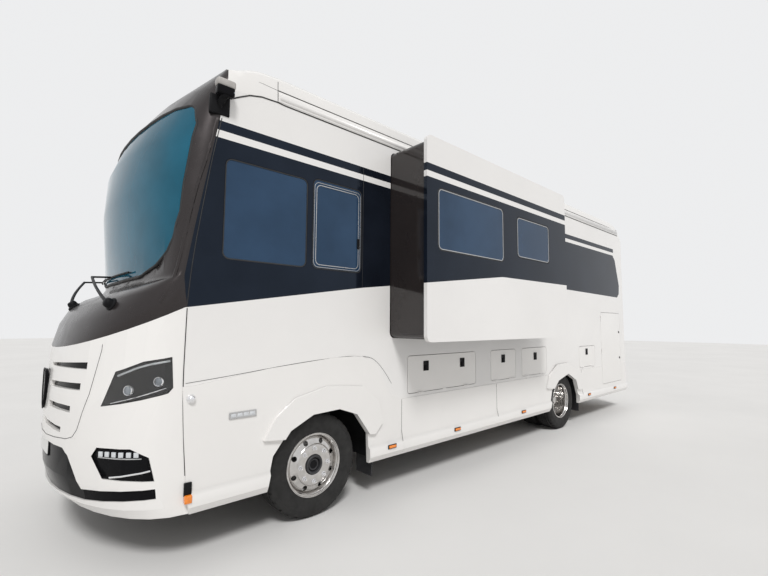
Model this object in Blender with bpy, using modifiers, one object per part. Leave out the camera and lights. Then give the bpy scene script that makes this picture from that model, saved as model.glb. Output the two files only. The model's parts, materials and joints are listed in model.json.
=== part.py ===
"""A large integrated motorhome on a truck chassis, with its side room run out.

The coach faces +X and stands on its tyres at Z = 0. Places below are measured from the front axle, forwards
along +X, from the centreline, to the left along +Y, and from the ground. The empty coach_frame then carries
everything to the middle of the overall box. The front shell is the part that takes the most care: its cross
lines, the ribs, are arcs between a centre point and a side point, and mask, surround, glass and lamps are all
cut from that one surface.
"""

import math

import bmesh
import bpy
from mathutils import Matrix, Vector

# Driving sizes of the coach, in metres.
HALF_WIDTH = 1.25
NOSE_REACH = 1.77
WHEELBASE = 4.62
OVERHANG = 2.79
TAIL_REACH = WHEELBASE + OVERHANG
GUTTER_HEIGHT = 3.47
ROOF_RISE = 0.23
SEAM = 0.0004
SHUT_GAP = 0.006
OVERRUN = 0.05
CORNER_STEPS = 4

# Shell thicknesses, the edge between walls and skirts, and the skirts themselves.
WALL_THICKNESS = 0.040
ROOF_THICKNESS = 0.040
MASK_THICKNESS = 0.030
GLASS_THICKNESS = 0.010
PANE_THICKNESS = 0.012
PANE_RECESS = 0.004
SKIRT_TOP = 0.885
SKIRT_BOTTOM = 0.345
SKIRT_INNER_Y = HALF_WIDTH - 0.0275
SKIRT_PROUD = 0.006
SILL_TOP = 0.500
SILL_EDGE = 0.470
SILL_LOW = 0.395
SILL_PROUD = 0.026
FLARE_PROUD = 0.034
WINDOW_RADIUS = 0.055
HATCH_RADIUS = 0.040

# Floors.
FLOOR_THICKNESS = 0.040
CABIN_FLOOR_TOP = 1.360
LOWER_FLOOR_FRONT_X = -0.72
GARAGE_FLOOR_TOP = 0.550
GARAGE_FRONT_SHARE = 0.5376
GARAGE_FRONT_X = -(WHEELBASE + GARAGE_FRONT_SHARE * OVERHANG)
BED_DECK_RISE = 0.56
BED_DECK_TOP = CABIN_FLOOR_TOP + BED_DECK_RISE
NOSE_FLOOR_SHARE = 0.90

# Wheels and running gear.
TYRE_RADIUS = 0.433
TYRE_WIDTH = 0.260
TYRE_INSET = 0.045
TYRE_OUTER_Y = HALF_WIDTH - TYRE_INSET
TWIN_GAP = 0.040
TWIN_PITCH = TYRE_WIDTH + TWIN_GAP
RIM_SEAT_RADIUS = 0.248
BEAD_GAP = 0.0005
BEAD_RADIUS = RIM_SEAT_RADIUS + BEAD_GAP
RIM_LIP_RISE = 0.018
RIM_LIP_RADIUS = RIM_SEAT_RADIUS + RIM_LIP_RISE
RIM_WALL = 0.011
HUB_RADIUS = 0.075
HAND_HOLE_SHARE = 0.79
HAND_HOLE_CIRCLE = RIM_SEAT_RADIUS * HAND_HOLE_SHARE
HAND_HOLE_RADIUS = 0.021
STUDS = 8
WHEEL_STEPS = 20
AXLE_HEIGHT = TYRE_RADIUS
KINGPIN_INSET = 0.305
KINGPIN_Y = TYRE_OUTER_Y - KINGPIN_INSET
SPINDLE_LENGTH = 0.100
SPINDLE_END_Y = KINGPIN_Y + SPINDLE_LENGTH
SPINDLE_RADIUS = 0.040
WHEEL_Y = TYRE_OUTER_Y - TYRE_WIDTH / 2

# Chassis frame.
RAIL_INSET = 0.48
RAIL_Y = KINGPIN_Y - RAIL_INSET
RAIL_TOP = 0.838
RAIL_HEIGHT = 0.22
RAIL_FLANGE = 0.075
RAIL_WALL = 0.009
NOSE_CLEARANCE = 0.47
RAIL_FRONT_X = NOSE_REACH - NOSE_CLEARANCE
RAIL_CLEARANCE = 0.06
RAIL_BACK_X = GARAGE_FRONT_X + RAIL_CLEARANCE
TUB_GAP = 0.002
TAIL_RAIL_TOP = GARAGE_FLOOR_TOP - FLOOR_THICKNESS - TUB_GAP
TAIL_RAIL_HEIGHT = 0.10

# Side room: the box that runs out of the left wall.
ROOM_FRONT_SHARE = 0.1721
ROOM_BACK_SHARE = 0.7907
ROOM_FRONT_X = -ROOM_FRONT_SHARE * WHEELBASE
ROOM_BACK_X = -ROOM_BACK_SHARE * WHEELBASE
ROOM_SILL = 0.115
ROOM_BOTTOM = CABIN_FLOOR_TOP + ROOM_SILL
ROOM_HEAD = 0.035
ROOM_TOP = GUTTER_HEIGHT - ROOM_HEAD
ROOM_RUN = 0.52
ROOM_OUT_Y = HALF_WIDTH + ROOM_RUN
ROOM_FASCIA = 0.040
ROOM_SKIN = 0.028
ROOM_CORNER = 0.06
ROOM_LIP = 0.022
ROOM_GAP = 0.008
ROOM_OVERLAP = 0.04
ROOM_DEPTH = ROOM_RUN + ROOM_OVERLAP
RUNNER_WIDTH = 0.08

# Hinges of the hatches and doors.
HINGE_LENGTH = 0.090
HINGE_RADIUS = 0.007
HINGE_STANDOFF = 0.0075
LEAF_REACH = 0.022
LEAF_THICKNESS = 0.005
RUNNING_GAP = 0.0003

# Camera mirror arms at the top of the screen pillars.
MIRROR_REACH = 0.15
MIRROR_OUT_Y = HALF_WIDTH + MIRROR_REACH
MIRROR_DROP = 0.03
MIRROR_HEIGHT = GUTTER_HEIGHT - MIRROR_DROP

# The model's origin lies below the middle of its overall box.
BOX_MIDDLE_X = (NOSE_REACH - TAIL_REACH) / 2
BOX_MIDDLE_Y = (ROOM_OUT_Y - MIRROR_OUT_Y) / 2

material_cache = {}


def clear_scene():
    for obj in list(bpy.data.objects):
        bpy.data.objects.remove(obj, do_unlink=True)


def new_collection(name, hidden=False):
    made = bpy.data.collections.new(name)
    bpy.context.scene.collection.children.link(made)
    made.hide_render = hidden
    return made


def material(name, colour, roughness, metallic=0.0):
    """One Principled material for each finish."""
    if name not in material_cache:
        made = bpy.data.materials.new(name)
        made.use_nodes = True
        shader = made.node_tree.nodes["Principled BSDF"]
        shader.inputs["Base Color"].default_value = (*colour, 1.0)
        shader.inputs["Roughness"].default_value = roughness
        shader.inputs["Metallic"].default_value = metallic
        material_cache[name] = made
    return material_cache[name]


def white_paint():
    return material("white_paint", (0.86, 0.86, 0.85), 0.25)


def dark_paint():
    return material("graphite_paint", (0.035, 0.034, 0.038), 0.18, 0.4)


def black_plastic():
    return material("black_plastic", (0.012, 0.012, 0.013), 0.45)


def tinted_glass():
    return material("tinted_glass", (0.02, 0.03, 0.04), 0.05)


def rubber():
    return material("tyre_rubber", (0.018, 0.018, 0.018), 0.75)


def polished_alloy():
    return material("polished_alloy", (0.80, 0.80, 0.80), 0.12, 1.0)


def chassis_paint():
    return material("chassis_paint", (0.03, 0.03, 0.032), 0.55)


def trim_leather():
    return material("seat_leather", (0.55, 0.50, 0.43), 0.6)


def recalculated(mesh):
    shape = bmesh.new()
    shape.from_mesh(mesh)
    bmesh.ops.remove_doubles(shape, verts=shape.verts, dist=1e-5)
    bmesh.ops.recalc_face_normals(shape, faces=shape.faces)
    shape.to_mesh(mesh)
    shape.free()
    return mesh


def applied(obj):
    """The object with its modifiers or curve made into one plain mesh."""
    graph = bpy.context.evaluated_depsgraph_get()
    mesh = bpy.data.meshes.new_from_object(obj.evaluated_get(graph))
    mesh.transform(obj.matrix_world)
    made = bpy.data.objects.new(obj.name + "_made", recalculated(mesh))
    name = obj.name
    bpy.data.objects.remove(obj, do_unlink=True)
    made.name = name
    bpy.context.scene.collection.objects.link(made)
    return made


def mesh_object(name, shape):
    mesh = bpy.data.meshes.new(name)
    shape.to_mesh(mesh)
    shape.free()
    obj = bpy.data.objects.new(name, mesh)
    bpy.context.scene.collection.objects.link(obj)
    return obj


def box(name, low, high):
    low, high = Vector(low), Vector(high)
    shape = bmesh.new()
    size = Matrix.Diagonal((*(high - low), 1.0))
    bmesh.ops.create_cube(shape, size=1.0, matrix=Matrix.Translation((low + high) / 2) @ size)
    return mesh_object(name, shape)


def rod(name, start, end, radius, end_radius=None, steps=16):
    """A cylinder or cone from one point to another."""
    start, end = Vector(start), Vector(end)
    along = end - start
    turn = along.to_track_quat("Z", "Y").to_matrix().to_4x4()
    shape = bmesh.new()
    bmesh.ops.create_cone(
        shape, cap_ends=True, segments=steps, radius1=radius,
        radius2=radius if end_radius is None else end_radius, depth=along.length,
        matrix=Matrix.Translation((start + end) / 2) @ turn,
    )
    return mesh_object(name, shape)


PLANES = {
    "side": Matrix.Rotation(math.pi / 2, 4, "X"),
    "plan": Matrix.Identity(4),
    "front": Matrix(((0, 0, 1, 0), (1, 0, 0, 0), (0, 1, 0, 0), (0, 0, 0, 1))),
}
NORMALS = {"side": Vector((0, 1, 0)), "plan": Vector((0, 0, 1)), "front": Vector((1, 0, 0))}


def plate(name, outline, plane, near, far, holes=()):
    """A flat outline with holes, drawn as a 2D curve: side is X-Z, plan is X-Y and front is Y-Z."""
    curve = bpy.data.curves.new(name, "CURVE")
    curve.dimensions = "2D"
    curve.fill_mode = "BOTH"
    curve.extrude = abs(far - near) / 2
    for loop in (outline, *holes):
        spline = curve.splines.new("POLY")
        spline.points.add(len(loop) - 1)
        for point, place in zip(spline.points, loop):
            point.co = (place[0], place[1], 0, 1)
        spline.use_cyclic_u = True
    obj = bpy.data.objects.new(name, curve)
    bpy.context.scene.collection.objects.link(obj)
    obj.matrix_world = Matrix.Translation(NORMALS[plane] * (near + far) / 2) @ PLANES[plane]
    bpy.context.view_layer.update()
    return applied(obj)


def rounded(corners, radius):
    """The outline with each corner replaced by an arc; radius is one size or one for each corner."""
    radii = [radius] * len(corners) if isinstance(radius, (int, float)) else radius
    made = []
    for index, corner in enumerate(corners):
        here = Vector(corner)
        before = (Vector(corners[index - 1]) - here).normalized()
        after = (Vector(corners[(index + 1) % len(corners)]) - here).normalized()
        half = before.angle(after) / 2
        if radii[index] <= 0 or abs(half - math.pi / 2) < 0.02:
            made.append(tuple(here))
            continue
        reach = radii[index] / math.tan(half)
        centre = here + (before + after).normalized() * radii[index] / math.sin(half)
        first, last = here + before * reach - centre, here + after * reach - centre
        sweep = first.angle_signed(last)
        for step in range(CORNER_STEPS + 1):
            angle = -sweep * step / CORNER_STEPS
            turned_arm = Matrix.Rotation(angle, 2) @ first
            made.append(tuple(centre + turned_arm))
    return made


def rectangle(low_x, low_z, high_x, high_z, radius=0.0):
    corners = [(low_x, low_z), (high_x, low_z), (high_x, high_z), (low_x, high_z)]
    return rounded(corners, radius) if radius > 0 else corners


def grown(low_x, low_z, high_x, high_z, by):
    return low_x - by, low_z - by, high_x + by, high_z + by


def turned(name, profile, centre, steps=WHEEL_STEPS, closed=True):
    """A profile of (radius, offset along Y) spun round the Y axis through centre by a Screw modifier."""
    shape = bmesh.new()
    points = [shape.verts.new((radius, 0, offset)) for radius, offset in profile]
    for one, other in zip(points, points[1:]):
        shape.edges.new((one, other))
    if closed:
        shape.edges.new((points[-1], points[0]))
    obj = mesh_object(name, shape)
    screw = obj.modifiers.new("spin", "SCREW")
    screw.axis = "Z"
    screw.steps = screw.render_steps = steps
    screw.use_merge_vertices = True
    screw.merge_threshold = 1e-5
    obj.matrix_world = Matrix.Translation(centre) @ Matrix.Rotation(-math.pi / 2, 4, "X")
    bpy.context.view_layer.update()
    return applied(obj)


def boolean(base, others, operation):
    for other in others:
        step = base.modifiers.new(operation.lower(), "BOOLEAN")
        step.operation = operation
        step.solver = "EXACT"
        step.object = other
    bpy.context.view_layer.update()
    made = applied(base)
    for other in others:
        bpy.data.objects.remove(other, do_unlink=True)
    return made


def joined(base, *others):
    return boolean(base, others, "UNION")


def cut(base, *others):
    return boolean(base, others, "DIFFERENCE")


def common(base, other):
    return boolean(base, [other], "INTERSECT")


def keep(obj, name, finish, smooth=0.55):
    """Names a finished piece, gives it its material and hands it to the coach."""
    obj.name = name
    obj.data.name = name
    obj.data.materials.clear()
    obj.data.materials.append(finish)
    if smooth:
        obj.data.shade_smooth()
        obj.data.set_sharp_from_angle(angle=smooth)
    for group in list(obj.users_collection):
        group.objects.unlink(obj)
    coach.objects.link(obj)
    obj.parent = coach_frame
    return obj


# The front shell. Each rib is an arc across the coach, one level after another up to the roof cap. Heights
# are shares of GUTTER_HEIGHT and reaches are shares of NOSE_REACH; crown is how squarely the arc rises.
RIB_COLUMNS = ("centre_height_share", "centre_reach_share", "side_height_share", "side_reach_share", "crown")
FRONT_RIB_SHARES = [
    (0.101, 0.935, 0.101, 0.590, 1.0),
    (0.120, 0.975, 0.120, 0.600, 1.0),
    (0.160, 0.997, 0.175, 0.608, 1.0),
    (0.235, 1.000, 0.250, 0.621, 1.0),
    (0.320, 0.997, 0.350, 0.633, 1.0),
    (0.415, 0.984, 0.504, 0.627, 1.0),
    (0.466, 0.960, 0.530, 0.637, 1.0),
    (0.505, 0.920, 0.550, 0.641, 1.0),
    (0.528, 0.855, 0.562, 0.644, 1.0),
    (0.545, 0.770, 0.570, 0.644, 1.0),
    (0.560, 0.745, 0.580, 0.641, 1.0),
    (0.660, 0.774, 0.672, 0.613, 1.0),
    (0.760, 0.798, 0.763, 0.582, 1.0),
    (0.860, 0.790, 0.862, 0.549, 1.0),
    (0.940, 0.735, 0.925, 0.528, 0.8),
    (0.994, 0.660, 0.957, 0.516, 0.5),
    (1.036, 0.565, 0.972, 0.508, 0.34),
    (1.062, 0.486, 0.983, 0.503, 0.28),
]
MASK_TOP_RIB = 5
SCREEN_LOW_RIB = 10
CAP_RIB = 17
RIB_STEPS = 18
# Roof ribs behind the cap: place behind the front axle as a share of TAIL_REACH, gutter height as a share of
# GUTTER_HEIGHT and rise above the gutter as a share of ROOF_RISE.
ROOF_RIB_SHARES = [
    (-0.092, 0.994, 1.02),
    (-0.060, 1.000, 1.00),
    (0.920, 1.000, 0.97),
    (0.955, 1.000, 0.84),
    (0.977, 0.993, 0.66),
    (0.987, 0.984, 0.50),
    (1.000, 0.968, 0.33),
]
ROOF_CROWN = 0.28
ROOF_END_SHARE = 0.4
EDGE_LIP = 0.012
LIP_CROWN = 0.45


def shell_ribs():
    ribs = [
        (high * GUTTER_HEIGHT, reach * NOSE_REACH, side_high * GUTTER_HEIGHT, side_reach * NOSE_REACH, crown)
        for high, reach, side_high, side_reach, crown in FRONT_RIB_SHARES
    ]
    for back, gutter, rise in ROOF_RIB_SHARES:
        place, side_high = -back * TAIL_REACH, gutter * GUTTER_HEIGHT
        place = max(place, -TAIL_REACH + WALL_THICKNESS + SEAM)
        ribs.append((side_high + rise * ROOF_RISE, place, side_high, place, ROOF_CROWN))
    return ribs


def shell_rows():
    """The outer points of every rib, from the right side to the left, with a straight lip at either edge."""
    rows = []
    for centre_high, centre_reach, side_high, side_reach, crown in shell_ribs():
        lip = Vector((EDGE_LIP, 0, 0)) if crown > LIP_CROWN else Vector((0, 0, EDGE_LIP))
        row = []
        for step in range(1, RIB_STEPS):
            angle = math.pi * (step / RIB_STEPS - 0.5)
            along = math.cos(angle)
            row.append(lip + Vector((
                side_reach + (centre_reach - side_reach - lip.x) * along,
                HALF_WIDTH * math.sin(angle),
                side_high + (centre_high - side_high - lip.z) * along ** crown,
            )))
        for side in (-1, 1):
            edge = Vector((side_reach, side * HALF_WIDTH, side_high))
            row = [edge, edge + lip] + row if side < 0 else row + [edge + lip, edge]
        rows.append(row)
    return rows


def shell_normals(rows):
    """Outward directions at every point; the side edges face straight out."""
    normals = []
    for index, row in enumerate(rows):
        below, above = rows[max(index - 1, 0)], rows[min(index + 1, len(rows) - 1)]
        line = []
        for place in range(len(row)):
            if place in (0, 1, len(row) - 2, len(row) - 1):
                line.append(Vector((0, math.copysign(1.0, row[place].y), 0)))
                continue
            across = row[place + 1] - row[place - 1]
            line.append(across.cross(above[place] - below[place]).normalized())
        normals.append(line)
    normals[CAP_RIB] = [Vector((0, normal.y, normal.z)).normalized() for normal in normals[CAP_RIB]]
    normals[-1] = [normal * ROOF_END_SHARE for normal in normals[-1]]
    return normals


def stepped(row, normals, towards):
    """A rib moved by a seam towards its neighbour, along the shell and square to its own line."""
    made = []
    for place, (here, there) in enumerate(zip(row, towards)):
        along = row[min(place + 1, len(row) - 1)] - row[max(place - 1, 0)]
        aside = along.cross(normals[place]).normalized()
        made.append(here + aside * math.copysign(SEAM, aside.dot(there - here)))
    return made


def skin(name, first, last, thickness, inset=0.0):
    """A closed skin between two ribs of the shell, set inwards by inset and clear of its neighbours."""
    rows, normals = shell_rows(), shell_normals(shell_rows())
    outer = [list(row) for row in rows[first:last + 1]]
    if first > 0:
        outer[0] = stepped(rows[first], normals[first], rows[first + 1])
    if last < len(rows) - 1:
        outer[-1] = stepped(rows[last], normals[last], rows[last - 1])
    shape = bmesh.new()
    grids = []
    for depth in (inset, inset + thickness):
        grids.append([
            [shape.verts.new(point - normal * depth) for point, normal in zip(row, line)]
            for row, line in zip(outer, normals[first:last + 1])
        ])
    for grid in grids:
        for low, high in zip(grid, grid[1:]):
            for index in range(len(low) - 1):
                shape.faces.new((low[index], low[index + 1], high[index + 1], high[index]))
    face, back = grids
    for row in (0, -1):
        for index in range(len(face[row]) - 1):
            one, other = face[row][index], back[row][index + 1]
            shape.faces.new((one, face[row][index + 1], other))
            shape.faces.new((one, other, back[row][index]))
    for column in (0, -1):
        for low in range(len(face) - 1):
            shape.faces.new((face[low][column], face[low + 1][column], back[low + 1][column],
                             back[low][column]))
    bmesh.ops.recalc_face_normals(shape, faces=shape.faces)
    return mesh_object(name, shape)


def shell_side_line(first, last):
    """The (x, z) points where the shell meets the side wall, from one rib to another."""
    return [(row[0].x, row[0].z) for row in shell_rows()[first:last + 1]]


# Outlines on the front, half of each, as (y, z) shares of HALF_WIDTH and GUTTER_HEIGHT.
SCREEN_SHARES = [(0.0, 0.926), (0.45, 0.932), (0.78, 0.943), (0.905, 0.940), (0.945, 0.895), (0.945, 0.700),
                 (0.925, 0.650), (0.875, 0.615), (0.78, 0.590), (0.56, 0.5725), (0.0, 0.5705)]
SCREEN_RADIUS = 0.07
PANEL_SHARES = [(0.0, 0.520), (0.745, 0.520), (0.745, 0.420), (0.690, 0.330), (0.590, 0.243), (0.20, 0.231),
                (0.0, 0.230)]
INTAKE_SHARES = [(0.0, 0.217), (0.46, 0.219), (0.52, 0.208), (0.64, 0.150), (0.966, 0.158),
                 (0.966, 0.139), (0.63, 0.128), (0.0, 0.122)]
BADGE_SHARES = [(0.0, 0.365), (0.070, 0.362), (0.080, 0.320), (0.0, 0.276)]
# Slots of the front panel, in the order of their columns.
SLOT_COLUMNS = ("inner_share", "outer_share", "inner_low_share", "outer_low_share", "outer_high_share",
                "inner_high_share")
SLOT_SHARES = [
    (0.11, 0.64, 0.376, 0.379, 0.393, 0.382),
    (0.14, 0.60, 0.333, 0.337, 0.351, 0.345),
    (0.14, 0.52, 0.291, 0.291, 0.304, 0.303),
    (0.05, 0.42, 0.252, 0.247, 0.258, 0.262),
]
# Lamp outlines seen from the side, as (x, z) shares of NOSE_REACH and GUTTER_HEIGHT.
HEADLAMP_SHARES = [(0.870, 0.311), (0.836, 0.378), (0.760, 0.398), (0.672, 0.406), (0.664, 0.346),
                   (0.680, 0.336)]
FOG_SHARES = [(0.885, 0.216), (0.873, 0.234), (0.785, 0.234), (0.729, 0.217), (0.708, 0.172), (0.853, 0.176)]
LAMP_INNER_SHARE = 0.55
CUTTER_BACK_SHARE = 0.42
LAMP_DEPTH = 0.026
LAMP_RECESS = 0.003
TRIM_RECESS = 0.012
TRIM_THICKNESS = 0.014
BACKING_INSET = MASK_THICKNESS + 0.002
BACKING_SHARES = [(0.0, 0.412), (0.665, 0.412), (0.660, 0.310), (0.575, 0.236), (0.520, 0.130), (0.0, 0.122)]
FOG_BACKING_SHARES = [(0.54, 0.225), (0.93, 0.225), (0.93, 0.155), (0.50, 0.155)]


def scaled(shares, across=HALF_WIDTH, up=GUTTER_HEIGHT):
    return [(one * across, other * up) for one, other in shares]


def both_halves(shares):
    """A half outline from the centre out, closed by its mirror image."""
    half = scaled(shares)
    return half + [(-y, z) for y, z in reversed(half) if y > 0]


def prism(outline, plane, near, far):
    return plate("cutter", outline, plane, min(near, far), max(near, far))


def shrunk(outline, by):
    """The outline with every edge moved inwards by a small clearance."""
    points = [Vector(point) for point in outline]
    area = sum(a.x * b.y - a.y * b.x for a, b in zip(points, points[1:] + points[:1]))
    made = []
    for index, here in enumerate(points):
        one = (here - points[index - 1]).normalized()
        two = (points[(index + 1) % len(points)] - here).normalized()
        normal = Vector((-one.y, one.x)) * math.copysign(1.0, area)
        other = Vector((-two.y, two.x)) * math.copysign(1.0, area)
        bisector = (normal + other).normalized()
        made.append(tuple(here + bisector * by / max(bisector.dot(normal), 0.3)))
    return made


def make_front():
    """Lower mask, its front panel, the dark surround, the windscreen and everything set into them."""
    far = NOSE_REACH + OVERRUN
    near = NOSE_REACH * CUTTER_BACK_SHARE
    lamp_near, lamp_far = HALF_WIDTH * LAMP_INNER_SHARE, HALF_WIDTH + OVERRUN
    screen = rounded(both_halves(SCREEN_SHARES), SCREEN_RADIUS)
    panel, intake = both_halves(PANEL_SHARES), both_halves(INTAKE_SHARES)
    headlamp, fog = (scaled(shares, NOSE_REACH) for shares in (HEADLAMP_SHARES, FOG_SHARES))

    cutters = [prism(panel, "front", near, far), prism(intake, "front", near, far)]
    for side in (1, -1):
        cutters += [prism(lamp, "side", side * lamp_near, side * lamp_far) for lamp in (headlamp, fog)]
    keep(cut(skin("mask", 0, MASK_TOP_RIB, MASK_THICKNESS), *cutters), "front_mask", white_paint())

    slots = [prism(both_halves(BADGE_SHARES), "front", near, far)]
    for row in SLOT_SHARES:
        slot = dict(zip(SLOT_COLUMNS, row))
        for side in (1, -1):
            shares = [(side * slot["inner_share"], slot["inner_low_share"]),
                      (side * slot["outer_share"], slot["outer_low_share"]),
                      (side * slot["outer_share"], slot["outer_high_share"]),
                      (side * slot["inner_share"], slot["inner_high_share"])]
            slots.append(prism(scaled(shares), "front", near, far))
    flap = skin("flap", 0, MASK_TOP_RIB, MASK_THICKNESS)
    flap = common(flap, prism(shrunk(panel, SEAM), "front", near, far))
    keep(cut(flap, *slots), "front_panel", white_paint())

    backing = skin("backing", 1, MASK_TOP_RIB, TRIM_THICKNESS, BACKING_INSET)
    backing = common(backing, prism(both_halves(BACKING_SHARES), "front", near, far))
    insert = skin("insert", 0, MASK_TOP_RIB, BACKING_INSET, TRIM_RECESS)
    insert = common(insert, prism(shrunk(intake, SEAM), "front", near, far))
    parts = [insert]
    for side in (1, -1):
        lower = skin("fog_backing", 1, MASK_TOP_RIB, TRIM_THICKNESS / 2, BACKING_INSET + TRIM_THICKNESS / 4)
        outline = [(side * y, z) for y, z in scaled(FOG_BACKING_SHARES)]
        parts.append(common(lower, prism(outline, "front", near, far)))
        bezel = skin("fog", 0, MASK_TOP_RIB, BACKING_INSET, TRIM_RECESS)
        parts.append(common(bezel, prism(shrunk(fog, SEAM), "side", side * lamp_near, side * lamp_far)))
    keep(joined(backing, *parts), "front_black_trim", black_plastic())

    for side, word in ((1, "left"), (-1, "right")):
        lens = skin("lens", 0, MASK_TOP_RIB, LAMP_DEPTH, LAMP_RECESS)
        lens = common(lens, prism(shrunk(headlamp, SEAM), "side", side * lamp_near, side * lamp_far))
        keep(lens, "headlamp_" + word, tinted_glass())

    surround = skin("surround", MASK_TOP_RIB, CAP_RIB, MASK_THICKNESS)
    surround = cut(surround, prism(screen, "front", near, far))
    keep(surround, "windscreen_surround", dark_paint())
    glass = skin("glass", SCREEN_LOW_RIB, CAP_RIB, GLASS_THICKNESS)
    glass = common(glass, prism(shrunk(screen, SEAM), "front", near, far))
    keep(glass, "windscreen", tinted_glass())
    keep(skin("roof", CAP_RIB, CAP_RIB + len(ROOF_RIB_SHARES), ROOF_THICKNESS), "roof", white_paint())


# Places on the side walls. A patch is (back, low, front, top): along the coach as shares of WHEELBASE behind
# the front axle, of NOSE_REACH before it, or of OVERHANG behind the rear axle, and heights as shares of the
# wall from SKIRT_TOP up to GUTTER_HEIGHT.
FRONT_PANE_SHARES = (-0.0932, 0.4758, -0.5000, 0.7737)
SLIDING_PANE_SHARES = (0.0952, 0.4758, -0.0621, 0.7854)
CAB_PANE_SHARES = (0.0952, 0.4758, -0.5000, 0.7795)
LOUNGE_PANE_SHARES = (0.7468, 0.559, 0.4870, 0.7988)
ENTRY_DOOR_SHARES = (0.3723, 0.0155, 0.2186, 0.7988)
ENTRY_PANE_SHARES = (0.3377, 0.5087, 0.2532, 0.7331)
ROOM_PANE_SHARES = {
    "room_window_front": (0.4524, 0.5629, 0.2056, 0.7988),
    "room_window_back": (0.6861, 0.5977, 0.5152, 0.7872),
}
LEFT_HATCH_SHARES = {
    "locker_door_long": (0.4881, 0.0155, 0.2327, 0.1625),
    "locker_door_mid": (0.6883, 0.0155, 0.5606, 0.1625),
    "locker_door_small": (0.8788, 0.0155, 0.7251, 0.1625),
}
LEFT_TAIL_HATCH_SHARES = {"locker_door_tail": (0.4516, 0.0155, 0.2151, 0.1489)}
RIGHT_HATCH_SHARES = {"locker_door_right": (0.8009, 0.0155, 0.5411, 0.1625)}
GARAGE_DOOR_SHARES = (0.9068, -0.1257, 0.5627, 0.381)


def wall_height(share):
    return SKIRT_TOP + share * (GUTTER_HEIGHT - SKIRT_TOP)


def behind_axle(share):
    """A place behind the front axle as a share of WHEELBASE, or before it as a share of NOSE_REACH."""
    return -share * (WHEELBASE if share > 0 else NOSE_REACH)


def patch(shares):
    back, low, front, top = shares
    return behind_axle(back), wall_height(low), behind_axle(front), wall_height(top)


def tail_patch(shares):
    back, low, front, top = shares
    return (-WHEELBASE - back * OVERHANG, wall_height(low), -WHEELBASE - front * OVERHANG, wall_height(top))


# The panel line between wall and front wing, as (x, z) shares of SKIRT_SEAM_X and of the height that the wing
# rises above SKIRT_TOP, from the seam forwards.
SKIRT_SEAM_X = -0.99
WING_RISE = 0.455
WING_FRONT_SHARE = 0.5932
WING_FRONT_X = WING_FRONT_SHARE * NOSE_REACH
WING_TOP_SHARES = [(1.0, 0.0), (0.86, 0.10), (0.77, 0.43), (0.65, 0.85), (0.45, 1.0), (0.15, 1.0)]
WING_FRONT_SHARES = [(0.46, 0.88), (1.0, 0.70)]


def wing_line(lift):
    """The wing's top line from its rear seam to the front shell, moved up by lift."""
    back = [(x * SKIRT_SEAM_X, SKIRT_TOP + z * WING_RISE + lift) for x, z in WING_TOP_SHARES]
    return back + [(x * WING_FRONT_X, SKIRT_TOP + z * WING_RISE + lift) for x, z in WING_FRONT_SHARES]


def shell_line_above(height, back):
    """The seam of the front shell with the side, from a height up to the roof cap, moved back by a seam."""
    line = shell_side_line(0, CAP_RIB)
    made = []
    for (x0, z0), (x1, z1) in zip(line, line[1:]):
        if z0 <= height < z1:
            made.append((x0 + (x1 - x0) * (height - z0) / (z1 - z0) - back, height))
        if z1 > height:
            made.append((x1 - back, z1))
    return made


def wall_outline():
    last = CAP_RIB + len(ROOF_RIB_SHARES)
    wing = wing_line(SEAM)
    front = shell_line_above(wing[-1][1], SEAM)
    gutter = [(x, z - SEAM) for x, z in shell_side_line(CAP_RIB + 1, last)]
    tail = [(-TAIL_REACH, SKIRT_TOP + SEAM)]
    return wing + front[:-1] + [(front[-1][0], front[-1][1] - SEAM)] + gutter + tail


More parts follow.
